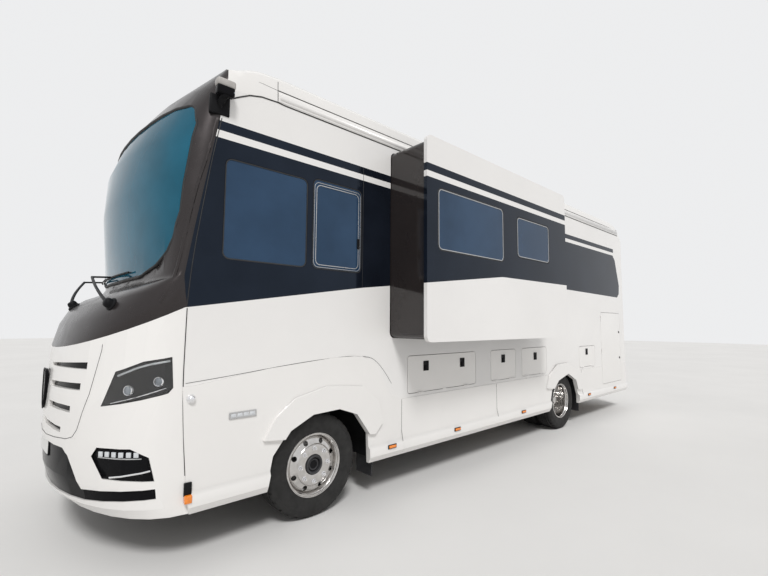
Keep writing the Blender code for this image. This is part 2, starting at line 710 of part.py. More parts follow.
def make_side_walls():
    outline = wall_outline()
    room = (ROOM_BACK_X + ROOM_LIP, ROOM_BOTTOM + ROOM_LIP, ROOM_FRONT_X - ROOM_LIP, ROOM_TOP - ROOM_LIP)
    left_holes = [rectangle(*patch(pane), WINDOW_RADIUS) for pane in (FRONT_PANE_SHARES, SLIDING_PANE_SHARES)]
    left_holes.append(rectangle(*room, ROOM_CORNER))
    hatches = [patch(one) for one in LEFT_HATCH_SHARES.values()]
    hatches += [tail_patch(one) for one in LEFT_TAIL_HATCH_SHARES.values()]
    left_holes += [rectangle(*grown(*place, SHUT_GAP), HATCH_RADIUS) for place in hatches]
    right_holes = [rectangle(*patch(pane), WINDOW_RADIUS) for pane in (CAB_PANE_SHARES, LOUNGE_PANE_SHARES)]
    hatches = [patch(one) for one in RIGHT_HATCH_SHARES.values()]
    right_holes += [rectangle(*grown(*place, SHUT_GAP), HATCH_RADIUS) for place in hatches]
    right_holes.append(rectangle(*grown(*patch(ENTRY_DOOR_SHARES), SHUT_GAP), WINDOW_RADIUS))
    inner, outer = HALF_WIDTH - WALL_THICKNESS, HALF_WIDTH
    hatches = {1: LEFT_HATCH_SHARES, -1: RIGHT_HATCH_SHARES}
    for side, word, holes in ((1, "left", left_holes), (-1, "right", right_holes)):
        wall = plate("wall", outline, "side", side * inner, side * outer, holes)
        garage = prism(rectangle(*grown(*tail_patch(GARAGE_DOOR_SHARES), SHUT_GAP), HATCH_RADIUS), "side",
                       side * (inner - OVERRUN), side * (outer + OVERRUN))
        behind = box("behind", (-TAIL_REACH - OVERRUN, -HALF_WIDTH - OVERRUN, 0),
                     (-TAIL_REACH + WALL_THICKNESS + SEAM, HALF_WIDTH + OVERRUN, GUTTER_HEIGHT))
        wall = cut(wall, garage, behind)
        leaves = []
        for name, shares in hatches[side].items():
            leaves += bottom_hinges(name, patch(shares), side)
        if side > 0:
            for name, shares in LEFT_TAIL_HATCH_SHARES.items():
                leaves += bottom_hinges(name, tail_patch(shares), side)
        else:
            leaves += side_hinges("entry_door", patch(ENTRY_DOOR_SHARES), side, ENTRY_HINGE_SHARES)
        leaves += side_hinges("garage_door_" + word, tail_patch(GARAGE_DOOR_SHARES), side,
                              GARAGE_HINGE_SHARES)
        keep(joined(wall, *leaves), "side_wall_" + word, white_paint())


# Hinges: a knuckle on the wall and one on the door, end to end on one axis just proud of the wall.
HATCH_HINGE_SHARES = (0.16, 0.84)
ENTRY_HINGE_SHARES = (0.10, 0.50, 0.90)
GARAGE_HINGE_SHARES = (0.45, 0.92)
door_leaves = {}


def span_box(name, *points):
    low = [min(point[axis] for point in points) for axis in range(3)]
    high = [max(point[axis] for point in points) for axis in range(3)]
    return box(name, low, high)


def hinge(point, along, side, to_door):
    """The wall's knuckle and the door's knuckle of one hinge, end to end at point on its axis."""
    point, along, to_door = Vector(point), Vector(along), Vector(to_door)
    half, middle = HINGE_LENGTH / 2, RUNNING_GAP / 2
    face = Vector((0, -side * (HINGE_STANDOFF + LEAF_THICKNESS / 2), 0))
    made = []
    for low, high, leaf in ((-half, -middle, -1), (middle, half, 1)):
        start, end = point + along * low, point + along * high
        knuckle = rod("knuckle", start, end, HINGE_RADIUS, steps=6)
        flat = span_box("leaf", start + face, end + face + Vector((0, side * LEAF_THICKNESS, 0)),
                        start + face + to_door * leaf * LEAF_REACH)
        made.append(joined(knuckle, flat))
    return made


def bottom_hinges(name, place, side):
    back, low, front, _ = place
    wall = []
    door_leaves[name] = []
    for share in HATCH_HINGE_SHARES:
        point = (back + (front - back) * share, side * (HALF_WIDTH + HINGE_STANDOFF), low - SHUT_GAP / 2)
        fixed, moving = hinge(point, (1, 0, 0), side, (0, 0, 1))
        wall.append(fixed)
        door_leaves[name].append(moving)
    return wall


def side_hinges(name, place, side, shares):
    _, low, front, top = place
    wall = []
    door_leaves[name] = []
    for share in shares:
        point = (front + SHUT_GAP / 2, side * (HALF_WIDTH + HINGE_STANDOFF), low + (top - low) * share)
        fixed, moving = hinge(point, (0, 0, 1), side, (-1, 0, 0))
        wall.append(fixed)
        door_leaves[name].append(moving)
    return wall


def make_doors():
    inner, outer = HALF_WIDTH - WALL_THICKNESS, HALF_WIDTH
    flaps = [(name, patch(one), 1) for name, one in LEFT_HATCH_SHARES.items()]
    flaps += [(name, tail_patch(one), 1) for name, one in LEFT_TAIL_HATCH_SHARES.items()]
    flaps += [(name, patch(one), -1) for name, one in RIGHT_HATCH_SHARES.items()]
    for name, place, side in flaps:
        door = plate(name, rectangle(*place, HATCH_RADIUS - SHUT_GAP), "side", side * inner, side * outer)
        keep(joined(door, *door_leaves[name]), name, white_paint())
    for side, word in ((1, "left"), (-1, "right")):
        name, place = "garage_door_" + word, tail_patch(GARAGE_DOOR_SHARES)
        door = plate(name, rectangle(*place, HATCH_RADIUS - SHUT_GAP), "side", side * inner, side * outer)
        skirt = plate("skirt", rectangle(place[0], place[1], place[2], SKIRT_TOP, 0), "side",
                      side * SKIRT_INNER_Y, side * (HALF_WIDTH + SKIRT_PROUD))
        corners = prism(rectangle(*place, HATCH_RADIUS - SHUT_GAP), "side", side * inner,
                        side * (outer + OVERRUN))
        door = joined(door, common(skirt, corners), *door_leaves[name])
        keep(door, name, white_paint())
    pane = rectangle(*patch(ENTRY_PANE_SHARES), WINDOW_RADIUS)
    place = patch(ENTRY_DOOR_SHARES)
    door = plate("entry_door", rectangle(*place, WINDOW_RADIUS - SHUT_GAP), "side", -inner, -outer, [pane])
    keep(joined(door, *door_leaves["entry_door"]), "entry_door", white_paint())


def make_windows():
    panes = [("window_cab_left", patch(FRONT_PANE_SHARES), 1, HALF_WIDTH),
             ("window_sliding_left", patch(SLIDING_PANE_SHARES), 1, HALF_WIDTH),
             ("window_cab_right", patch(CAB_PANE_SHARES), -1, HALF_WIDTH),
             ("window_lounge_right", patch(LOUNGE_PANE_SHARES), -1, HALF_WIDTH),
             ("window_entry", patch(ENTRY_PANE_SHARES), -1, HALF_WIDTH)]
    panes += [(name, patch(one), 1, ROOM_OUT_Y) for name, one in ROOM_PANE_SHARES.items()]
    for name, place, side, face in panes:
        outer = face - PANE_RECESS
        pane = plate(name, rectangle(*grown(*place, -SEAM), WINDOW_RADIUS - SEAM), "side",
                     side * (outer - PANE_THICKNESS), side * outer)
        keep(pane, name, tinted_glass())


def make_side_room():
    """The slide-out room: a tube with a fascia, running on two strips over the sill of its opening."""
    lip = ROOM_LIP + ROOM_GAP
    tube = (ROOM_BACK_X + lip, ROOM_BOTTOM + lip, ROOM_FRONT_X - lip, ROOM_TOP - lip)
    back_y = ROOM_OUT_Y - ROOM_FASCIA
    shell = plate("tube", rectangle(*tube, ROOM_CORNER - ROOM_GAP), "side", back_y - SEAM - ROOM_DEPTH,
                  back_y - SEAM, [rectangle(*grown(*tube, -ROOM_SKIN), ROOM_CORNER - ROOM_GAP)])
    runners = []
    for place in (tube[0] + ROOM_CORNER, tube[2] - ROOM_CORNER - RUNNER_WIDTH):
        low = ROOM_BOTTOM + ROOM_LIP + RUNNING_GAP
        runners.append(box("runner", (place, back_y - SEAM - ROOM_DEPTH, low),
                           (place + RUNNER_WIDTH, back_y - SEAM, tube[1] + ROOM_SKIN / 2)))
    keep(joined(shell, *runners), "side_room", dark_paint())
    outline = rectangle(ROOM_BACK_X, ROOM_BOTTOM, ROOM_FRONT_X, ROOM_TOP, ROOM_CORNER)
    holes = [rectangle(*patch(one), WINDOW_RADIUS) for one in ROOM_PANE_SHARES.values()]
    keep(plate("fascia", outline, "side", back_y, ROOM_OUT_Y, holes), "side_room_fascia", white_paint())


# Wheel arches as (x, z) shares of TYRE_RADIUS from the wheel's centre line and the ground.
FRONT_ARCH_SHARES = [(1.085, 0.0), (1.085, 0.92), (0.99, 1.39), (0.67, 1.80), (0.18, 2.03), (-0.44, 2.055),
                     (-0.90, 1.89), (-1.25, 1.43), (-1.32, 0.0)]
FRONT_FLARE_SHARES = [(1.20, 1.71), (0.97, 2.08), (0.58, 2.38), (-0.14, 2.54), (-1.05, 2.46), (-1.50, 2.10),
                      (-1.64, 1.62), (-1.42, 1.40)]
REAR_ARCH_SHARES = [(1.16, 0.0), (1.16, 0.88), (0.95, 1.48), (0.55, 1.80), (-0.24, 1.985), (-0.88, 1.70),
                    (-1.16, 1.10), (-1.18, 0.0)]
REAR_FLARE_SHARES = [(1.38, 1.60), (1.20, 2.02), (0.62, 2.36), (-0.22, 2.40), (-1.02, 2.14), (-1.42, 1.90),
                     (-1.36, 1.30)]


def arch(shares, middle):
    return [(middle + x * TYRE_RADIUS, z * TYRE_RADIUS) for x, z in shares]


def flare(flare_shares, arch_shares, middle, side):
    """A raised lip round a wheel arch."""
    ring = prism(arch(flare_shares, middle), "side", side * (HALF_WIDTH + SKIRT_PROUD - SEAM),
                 side * (HALF_WIDTH + FLARE_PROUD))
    return cut(ring, prism(arch(arch_shares, middle), "side", side * HALF_WIDTH * 0.9,
                           side * (HALF_WIDTH + FLARE_PROUD + OVERRUN)))


def skirt_length(name, back, front, top, side):
    """A length of skirt: its section in the Y-Z plane run from back to front, with the sill rolled out."""
    face = HALF_WIDTH + SKIRT_PROUD
    section = [(SKIRT_INNER_Y, top), (face, top), (face, SILL_TOP), (face + SILL_PROUD, SILL_EDGE),
               (face + SILL_PROUD, SILL_LOW), (face, SKIRT_BOTTOM), (SKIRT_INNER_Y, SKIRT_BOTTOM)]
    return plate(name, [(side * y, z) for y, z in section], "front", back, front)


def make_skirts():
    for side, word in ((1, "left"), (-1, "right")):
        near, far = side * (HALF_WIDTH - WALL_THICKNESS), side * (HALF_WIDTH + OVERRUN)
        deep = side * (HALF_WIDTH + FLARE_PROUD + OVERRUN)
        top = SKIRT_TOP + WING_RISE
        wing = skirt_length("wing", SKIRT_SEAM_X + SEAM, NOSE_REACH, top, side)
        seam = [(x - SEAM, z) for x, z in shell_side_line(0, MASK_TOP_RIB) if z < wing_line(0)[-1][1]]
        front = shell_line_above(wing_line(0)[-1][1], SEAM)[:1]
        outline = wing_line(0) + front + list(reversed(seam)) + [(seam[0][0], 0), (SKIRT_SEAM_X, 0)]
        wing = common(wing, prism(outline, "side", near, deep))
        wing = cut(wing, prism(arch(FRONT_ARCH_SHARES, 0), "side", near, deep))
        lip = flare(FRONT_FLARE_SHARES, FRONT_ARCH_SHARES, 0, side)
        keep(joined(wing, lip), "front_wing_" + word, white_paint())
        skirt = skirt_length("skirt", -TAIL_REACH + WALL_THICKNESS + SEAM, SKIRT_SEAM_X, SKIRT_TOP, side)
        door = rectangle(*grown(*tail_patch(GARAGE_DOOR_SHARES), SHUT_GAP), HATCH_RADIUS)
        skirt = cut(skirt, prism(door, "side", near, far),
                    prism(arch(REAR_ARCH_SHARES, -WHEELBASE), "side", near, deep))
        lip = flare(REAR_FLARE_SHARES, REAR_ARCH_SHARES, -WHEELBASE, side)
        keep(joined(skirt, lip), "side_skirt_" + word, white_paint())


BUMPER_LOW = 0.43


def make_rear_wall():
    """The rear wall, whose top follows the last rib of the roof, with its outer edge rounded."""
    rim = [(point.y, point.z) for point in shell_rows()[-1]]
    outline = rim + [(HALF_WIDTH, BUMPER_LOW), (-HALF_WIDTH, BUMPER_LOW)]
    wall = plate("rear", outline, "front", -TAIL_REACH, -TAIL_REACH + WALL_THICKNESS)
    shape = bmesh.new()
    shape.from_mesh(wall.data)
    outer = [edge for edge in shape.edges
             if all(vert.co.x < -TAIL_REACH + SEAM for vert in edge.verts) and edge.calc_face_angle(0) > 1]
    bmesh.ops.bevel(shape, geom=outer, offset=REAR_EDGE_RADIUS, segments=2, affect="EDGES", profile=0.5)
    shape.to_mesh(wall.data)
    shape.free()
    keep(wall, "rear_wall", white_paint())


REAR_EDGE_RADIUS = 0.025
STAIR_DEPTH = 0.72
STEP_DEPTH = 0.36
NOTCH_CLEARANCE = 0.0104
REAR_NOTCH_SHARE = 1.432


def make_floors():
    side = HALF_WIDTH - WALL_THICKNESS - SEAM
    front_edge = [((point.x - MASK_THICKNESS) * NOSE_FLOOR_SHARE, point.y * NOSE_FLOOR_SHARE)
                  for point in shell_rows()[MASK_TOP_RIB][1:-1]]
    tail = -TAIL_REACH + WALL_THICKNESS + SEAM
    stair_back, _, stair_front, _ = patch(ENTRY_DOOR_SHARES)
    outline = [(GARAGE_FRONT_X, -side), (stair_back, -side), (stair_back, -side + STAIR_DEPTH),
               (stair_front, -side + STAIR_DEPTH), (stair_front, -side)]
    outline += [(front_edge[0][0], -side)] + front_edge + [(front_edge[-1][0], side), (GARAGE_FRONT_X, side)]
    floor = plate("floor", outline, "plan", CABIN_FLOOR_TOP - FLOOR_THICKNESS, CABIN_FLOOR_TOP)
    wall = box("bulkhead", (GARAGE_FRONT_X - SEAM, -side, CABIN_FLOOR_TOP - FLOOR_THICKNESS),
               (GARAGE_FRONT_X + FLOOR_THICKNESS, side, BED_DECK_TOP))
    deck = box("deck", (tail, -side, BED_DECK_TOP - FLOOR_THICKNESS),
               (GARAGE_FRONT_X + FLOOR_THICKNESS, side, BED_DECK_TOP))
    keep(joined(floor, wall, deck), "cabin_floor", trim_leather())

    low_top = RAIL_TOP + RUNNING_GAP + FLOOR_THICKNESS
    notch = TYRE_OUTER_Y - TYRE_WIDTH - TWIN_PITCH - NOTCH_CLEARANCE
    half = REAR_NOTCH_SHARE * TYRE_RADIUS
    outline = []
    for across in (-1, 1):
        points = [(LOWER_FLOOR_FRONT_X, across * side), (-WHEELBASE + half, across * side),
                  (-WHEELBASE + half, across * notch), (-WHEELBASE - half, across * notch),
                  (-WHEELBASE - half, across * side), (GARAGE_FRONT_X, across * side)]
        outline += points if across < 0 else list(reversed(points))
    low = plate("low", outline, "plan", RAIL_TOP + RUNNING_GAP, low_top)
    riser = box("riser", (GARAGE_FRONT_X - SEAM, -side, GARAGE_FLOOR_TOP - FLOOR_THICKNESS),
                (GARAGE_FRONT_X + FLOOR_THICKNESS, side, low_top))
    tub = box("tub", (tail, -side, GARAGE_FLOOR_TOP - FLOOR_THICKNESS),
              (GARAGE_FRONT_X + FLOOR_THICKNESS, side, GARAGE_FLOOR_TOP))
    middle = (low_top + CABIN_FLOOR_TOP) / 2
    step = box("step", (stair_back, -side + STEP_DEPTH, low_top - SEAM),
               (stair_front, -side + STAIR_DEPTH, middle))
    keep(joined(low, riser, tub, step), "locker_floor", chassis_paint())


def rail(side):
    """A C section with its open side inwards."""
    web, inner, low = RAIL_Y - RAIL_WALL, RAIL_Y - RAIL_FLANGE, RAIL_TOP - RAIL_HEIGHT
    section = [(RAIL_Y, low), (RAIL_Y, RAIL_TOP), (inner, RAIL_TOP), (inner, RAIL_TOP - RAIL_WALL),
               (web, RAIL_TOP - RAIL_WALL), (web, low + RAIL_WALL), (inner, low + RAIL_WALL), (inner, low)]
    return plate("rail", [(side * y, z) for y, z in section], "front", RAIL_BACK_X, RAIL_FRONT_X)


CROSS_MEMBER = 0.08
CROSS_MEMBER_SHARES = (0.18, 0.42, 0.68, 0.90, 1.18)
FLAP_PLACE_SHARE = 1.42
FLAP_WIDTH = 0.24
FLAP_LOW = 0.19
FLAP_THICKNESS = 0.012
OUTRIGGER = 0.05


def make_chassis():
    pieces = []
    inside = RAIL_Y - RAIL_WALL / 2
    under = RAIL_TOP - RAIL_WALL / 2
    tail = -TAIL_REACH + WALL_THICKNESS + SEAM
    drop = TAIL_RAIL_TOP - TAIL_RAIL_HEIGHT
    for side in (1, -1):
        pieces.append(rail(side))
        front, back = RAIL_BACK_X + RAIL_HEIGHT, RAIL_BACK_X + RAIL_WALL
        link = [(tail, drop), (front, drop), (front, under), (back, under), (back, TAIL_RAIL_TOP),
                (tail, TAIL_RAIL_TOP)]
        pieces.append(plate("link", link, "side", side * inside, side * (RAIL_Y - RAIL_FLANGE + RAIL_WALL)))
        hang = TYRE_OUTER_Y - FLAP_WIDTH
        for middle in (0, -WHEELBASE):
            place = middle - FLAP_PLACE_SHARE * TYRE_RADIUS
            hung = place - OUTRIGGER / 2
            pieces.append(span_box("outrigger", (place, side * inside, RAIL_TOP - OUTRIGGER),
                                   (place - OUTRIGGER, side * TYRE_OUTER_Y, under)))
            top = (hung - FLAP_THICKNESS, side * (TYRE_OUTER_Y - RAIL_WALL), RAIL_TOP - OUTRIGGER / 2)
            pieces.append(span_box("flap", (hung, side * hang, FLAP_LOW), top))
    for share in CROSS_MEMBER_SHARES:
        place = -share * WHEELBASE
        pieces.append(box("cross", (place - CROSS_MEMBER / 2, -inside, RAIL_TOP - CROSS_MEMBER),
                          (place + CROSS_MEMBER / 2, inside, under)))
    low = RAIL_TOP - RAIL_HEIGHT + RAIL_WALL / 2
    pieces.append(box("front_cross", (RAIL_FRONT_X - CROSS_MEMBER, -inside, low),
                      (RAIL_FRONT_X - RAIL_WALL, inside, under)))
    keep(joined(pieces[0], *pieces[1:]), "chassis_frame", chassis_paint())
    clear = RAIL_Y - RAIL_FLANGE - RUNNING_GAP
    keep(box("engine", (ENGINE_BACK_X, -clear, ENGINE_LOW), (ENGINE_FRONT_X, clear, ENGINE_TOP)), "engine",
         material("engine_iron", (0.10, 0.10, 0.105), 0.6))
    tank = box("tank", (TANK_BACK_X, RAIL_Y + RUNNING_GAP, TANK_LOW),
               (TANK_FRONT_X, TANK_OUTER_Y, TANK_TOP))
    edge = tank.modifiers.new("edges", "BEVEL")
    edge.width = TANK_RADIUS
    edge.segments = 3
    keep(applied(tank), "fuel_tank", chassis_paint())


ENGINE_SETBACK = 0.38
ENGINE_LENGTH = 1.30
ENGINE_FRONT_X = RAIL_FRONT_X - ENGINE_SETBACK
ENGINE_BACK_X = ENGINE_FRONT_X - ENGINE_LENGTH
ENGINE_LIFT = 0.012
ENGINE_LOW = RAIL_TOP - RAIL_HEIGHT + ENGINE_LIFT
ENGINE_HEADROOM = 0.10
ENGINE_TOP = CABIN_FLOOR_TOP - FLOOR_THICKNESS - ENGINE_HEADROOM
TANK_FRONT_SHARE = 0.2706
TANK_FRONT_X = -TANK_FRONT_SHARE * WHEELBASE
TANK_LENGTH = 1.10
TANK_BACK_X = TANK_FRONT_X - TANK_LENGTH
TANK_DROP = 0.058
TANK_TOP = RAIL_TOP - TANK_DROP
TANK_HEIGHT = 0.36
TANK_LOW = TANK_TOP - TANK_HEIGHT
TANK_CLEARANCE = 0.20
TANK_OUTER_Y = SKIRT_INNER_Y - TANK_CLEARANCE
TANK_RADIUS = 0.06

BEAM_HALF = 0.045
BEAM_SETBACK = 0.10
BEAM_END_Y = KINGPIN_Y - BEAM_SETBACK
NECK_HALF_HEIGHT = 0.042
NECK_HALF_WIDTH = 0.032
BOSS_RADIUS = 0.045
BOSS_HALF_HEIGHT = 0.053
SPRING_HALF_LENGTH = 0.80
SPRING_DROP_SHARES = [(1.0, 0.0), (0.90, 0.0), (0.40, 0.70), (0.06, 0.96), (-0.06, 0.96), (-0.40, 0.70),
                      (-0.90, 0.0), (-1.0, 0.0)]
SPRING_THICKNESS = 0.030
SPRING_HALF_WIDTH = 0.035


def leaf_spring(middle, side, seat):
    """A leaf spring from below the rail down to the axle's seat."""
    top = RAIL_TOP - RAIL_HEIGHT - RUNNING_GAP
    drop = top - seat
    line = [(middle + x * SPRING_HALF_LENGTH, top - z * drop) for x, z in SPRING_DROP_SHARES]
    outline = line + [(x, z - SPRING_THICKNESS) for x, z in reversed(line)]
    place = side * (RAIL_Y - SPRING_HALF_WIDTH)
    return plate("spring", outline, "side", place - SPRING_HALF_WIDTH, place + SPRING_HALF_WIDTH)


AXLE_TUBE_RADIUS = 0.062
DIFFERENTIAL_RADIUS = 0.19
DIFFERENTIAL_HALF_WIDTH = 0.14
REAR_AXLE_SETBACK = 0.085
REAR_AXLE_END_Y = WHEEL_Y - TWIN_PITCH - REAR_AXLE_SETBACK
SHAFT_RADIUS = 0.038


def make_axles():
    beam = box("beam", (-BEAM_HALF, -BEAM_END_Y, AXLE_HEIGHT - BEAM_HALF),
               (BEAM_HALF, BEAM_END_Y, AXLE_HEIGHT + BEAM_HALF))
    pieces = [box("neck", (-NECK_HALF_WIDTH, -KINGPIN_Y, AXLE_HEIGHT - NECK_HALF_HEIGHT),
                  (NECK_HALF_WIDTH, KINGPIN_Y, AXLE_HEIGHT + NECK_HALF_HEIGHT))]
    for side in (1, -1):
        pieces.append(rod("boss", (0, side * KINGPIN_Y, AXLE_HEIGHT - BOSS_HALF_HEIGHT),
                          (0, side * KINGPIN_Y, AXLE_HEIGHT + BOSS_HALF_HEIGHT), BOSS_RADIUS))
        pieces.append(leaf_spring(0, side, AXLE_HEIGHT + BEAM_HALF))
    keep(joined(beam, *pieces), "front_axle", chassis_paint())

    slope = (ENGINE_LOW + SHAFT_RADIUS - AXLE_HEIGHT) / (WHEELBASE + ENGINE_BACK_X)
    shaft_end = ENGINE_BACK_X - RUNNING_GAP - SHAFT_RADIUS * slope
    tube = rod("tube", (-WHEELBASE, -REAR_AXLE_END_Y, AXLE_HEIGHT),
               (-WHEELBASE, REAR_AXLE_END_Y, AXLE_HEIGHT), AXLE_TUBE_RADIUS)
    pieces = [rod("diff", (-WHEELBASE, -DIFFERENTIAL_HALF_WIDTH, AXLE_HEIGHT),
                  (-WHEELBASE, DIFFERENTIAL_HALF_WIDTH, AXLE_HEIGHT), DIFFERENTIAL_RADIUS, steps=24),
              rod("shaft", (-WHEELBASE, 0, AXLE_HEIGHT), (shaft_end, 0, ENGINE_LOW + SHAFT_RADIUS),
                  SHAFT_RADIUS)]
    pieces += [leaf_spring(-WHEELBASE, side, AXLE_HEIGHT + AXLE_TUBE_RADIUS / 2) for side in (1, -1)]
    keep(joined(tube, *pieces), "rear_axle", chassis_paint())


FORK_HEIGHT = 0.042
FORK_RADIUS = 0.050
WEB_GAP = 0.004
WEB_INNER_Y = KINGPIN_Y + FORK_RADIUS + WEB_GAP
WEB_THICKNESS = 0.024
WEB_OUTER_Y = WEB_INNER_Y + WEB_THICKNESS
WEB_HALF = 0.044


def make_knuckles():
    """Steering knuckles: a fork above and below the axle's boss, a web outside it and the spindle."""
    near, far = BOSS_HALF_HEIGHT + RUNNING_GAP, BOSS_HALF_HEIGHT + RUNNING_GAP + FORK_HEIGHT
    for side, word in ((1, "left"), (-1, "right")):
        claw = [(KINGPIN_Y, -far), (WEB_OUTER_Y, -far), (WEB_OUTER_Y, far), (KINGPIN_Y, far),
                (KINGPIN_Y, near + SEAM), (WEB_INNER_Y, near + SEAM), (WEB_INNER_Y, -near - SEAM),
                (KINGPIN_Y, -near - SEAM)]
        pieces = [plate("claw", [(side * y, AXLE_HEIGHT + z) for y, z in claw], "front", -WEB_HALF, WEB_HALF)]
        for direction in (1, -1):
            pieces.append(rod("fork", (0, side * KINGPIN_Y, AXLE_HEIGHT + direction * near),
                              (0, side * KINGPIN_Y, AXLE_HEIGHT + direction * (far + SEAM)), FORK_RADIUS))
        pieces.append(rod("spindle", (0, side * (WEB_INNER_Y + SEAM), AXLE_HEIGHT),
                          (0, side * SPINDLE_END_Y, AXLE_HEIGHT), SPINDLE_RADIUS))
        keep(joined(pieces[0], *pieces[1:]), "knuckle_" + word, chassis_paint())


# Half of the tyre's section: rise from BEAD_RADIUS to TYRE_RADIUS and share of half TYRE_WIDTH.
TYRE_SHARES = [(0.0, 0.800), (0.214, 0.865), (0.531, 1.0), (0.777, 0.965), (0.934, 0.875), (1.0, 0.640)]
# The rim's lip and bead seat, as offsets along the axle in shares of half TYRE_WIDTH.
LIP_SHARE = 0.892
SEAT_SHARE = 0.835
# Discs as (radius, offset): radii in shares of RIM_SEAT_RADIUS, offsets in shares of half TYRE_WIDTH from the
# wheel's middle. Faces run from the hub out, backs from the barrel in.
FRONT_FACE_SHARES = [(0.66, 0.845), (0.76, 0.815), (0.86, 0.70), (0.955, 0.46)]
FRONT_BACK_SHARES = [(0.955, 0.30), (0.84, 0.55), (0.76, 0.67), (0.66, 0.70)]
# The twin discs bolt together halfway between the rims: offsets from there, in shares of half TWIN_PITCH.
TWIN_DISC_SHARES = [(0.66, 0.116), (0.84, 0.168), (0.955, 0.393)]
TWIN_GROOVE_SHARES = [(0.84, 0.081), (0.70, 0.0), (0.84, -0.081)]
FRONT_CAP_SHARE = 0.97
REAR_HUB_SHARE = 0.20


def tyre_section():
    wall = TYRE_RADIUS - BEAD_RADIUS
    half = [(BEAD_RADIUS + rise * wall, width * TYRE_WIDTH / 2) for rise, width in TYRE_SHARES]
    return half + [(radius, -width) for radius, width in reversed(half)]


def disc_line(shares):
    return [(radius * RIM_SEAT_RADIUS, width * TYRE_WIDTH / 2) for radius, width in shares]


def twin_line(shares, side=1):
    return [(radius * RIM_SEAT_RADIUS, (side * width - 1) * TWIN_PITCH / 2) for radius, width in shares]


def barrel_line(shift=0.0):
    """The outside of one rim barrel, from its outer lip to its inner lip."""
    lip, seat = LIP_SHARE * TYRE_WIDTH / 2, SEAT_SHARE * TYRE_WIDTH / 2
    line = [(RIM_LIP_RADIUS, lip), (RIM_LIP_RADIUS, seat), (RIM_SEAT_RADIUS, seat)]
    return [(radius, width + shift) for radius, width in line + [(r, -w) for r, w in reversed(line)]]


def rim_section(axle):
    """The whole section of a wheel with its hub, as one closed loop."""
    lip, inside = LIP_SHARE * TYRE_WIDTH / 2, RIM_LIP_RADIUS - RIM_WALL
    well = RIM_SEAT_RADIUS - RIM_WALL
    if axle == "front":
        start, end = SPINDLE_END_Y + RUNNING_GAP - WHEEL_Y, FRONT_CAP_SHARE * TYRE_WIDTH / 2
        face, back = disc_line(FRONT_FACE_SHARES), disc_line(FRONT_BACK_SHARES)
        line, far = barrel_line(), -lip
    else:
        start, end = REAR_AXLE_END_Y + RUNNING_GAP - WHEEL_Y, REAR_HUB_SHARE * TYRE_WIDTH / 2
        face, back = twin_line(TWIN_DISC_SHARES), list(reversed(twin_line(TWIN_DISC_SHARES, -1)))
        far = -TWIN_PITCH - lip
        line = barrel_line() + [(well, -lip)] + twin_line(TWIN_GROOVE_SHARES)
        line += [(well, lip - TWIN_PITCH)] + barrel_line(-TWIN_PITCH)
    hub = [(HUB_RADIUS, back[-1][1]), (HUB_RADIUS, start), (0.0, start), (0.0, end), (HUB_RADIUS, end),
           (HUB_RADIUS, face[0][1])]
    outside = [(well, lip - RIM_WALL), (inside, lip)] + line + [(inside, far), (well, far + RIM_WALL)]
    return outside + back + hub + face


def around(count, radius, turn=0.0):
    angles = [math.tau * step / count + turn for step in range(count)]
    return [(radius * math.cos(angle), radius * math.sin(angle)) for angle in angles]


def mirrored(obj, name):
    """A copy of a finished piece on the other side of the coach."""
    other = mesh_object(name, bmesh.new())
    other.data = obj.data.copy()
    other.data.transform(Matrix.Diagonal((1, -1, 1, 1)))
    other.data.flip_normals()
    return keep(other, name, obj.data.materials[0])


def make_wheels():
    """Tyres and rims of the left side, then their mirror images; the rear rims are a twin pair on one hub."""
    for middle, axle in ((0, "front"), (-WHEELBASE, "rear")):
        centre = Vector((middle, WHEEL_Y, AXLE_HEIGHT))
        name = "tyre_" + axle
        made = {name: keep(turned("tyre", tyre_section(), centre), name + "_left", rubber())}
        if axle == "rear":
            name, inner = "inner_tyre_rear", centre - Vector((0, TWIN_PITCH, 0))
            made[name] = keep(turned("tyre", tyre_section(), inner), name + "_left", rubber())
        holes = []
        for x, z in around(STUDS, HAND_HOLE_CIRCLE, math.pi / STUDS):
            holes.append(rod("hole", centre + Vector((x, -TYRE_WIDTH * 2, z)),
                             centre + Vector((x, TYRE_WIDTH, z)), HAND_HOLE_RADIUS, steps=8))
        name = "wheel_" + axle
        rim = cut(turned("rim", rim_section(axle), centre), *holes)
        made[name] = keep(rim, name + "_left", polished_alloy())
        for name, obj in made.items():
            mirrored(obj, name + "_right")


SEAT_SIDE_SHARE = 0.44
SEAT_Y = HALF_WIDTH * SEAT_SIDE_SHARE
DASH_FOOT_SHARE = 0.52
DASH_FOOT_X = NOSE_REACH * DASH_FOOT_SHARE
STEERING_SETBACK = 0.12
STEERING_RISE = 0.66
WHEEL_AXIS = Vector((-0.60, 0, 0.80))
STEERING_CENTRE = Vector((DASH_FOOT_X - STEERING_SETBACK, SEAT_Y, CABIN_FLOOR_TOP + STEERING_RISE))
STEERING_RADIUS = 0.21
STEERING_TUBE = 0.015
SPOKE = 0.018
SPOKE_SHARE = 0.985
COLUMN_RADIUS = 0.030
COLUMN_LENGTH = 0.24
SEAT_HALF_WIDTH = 0.25
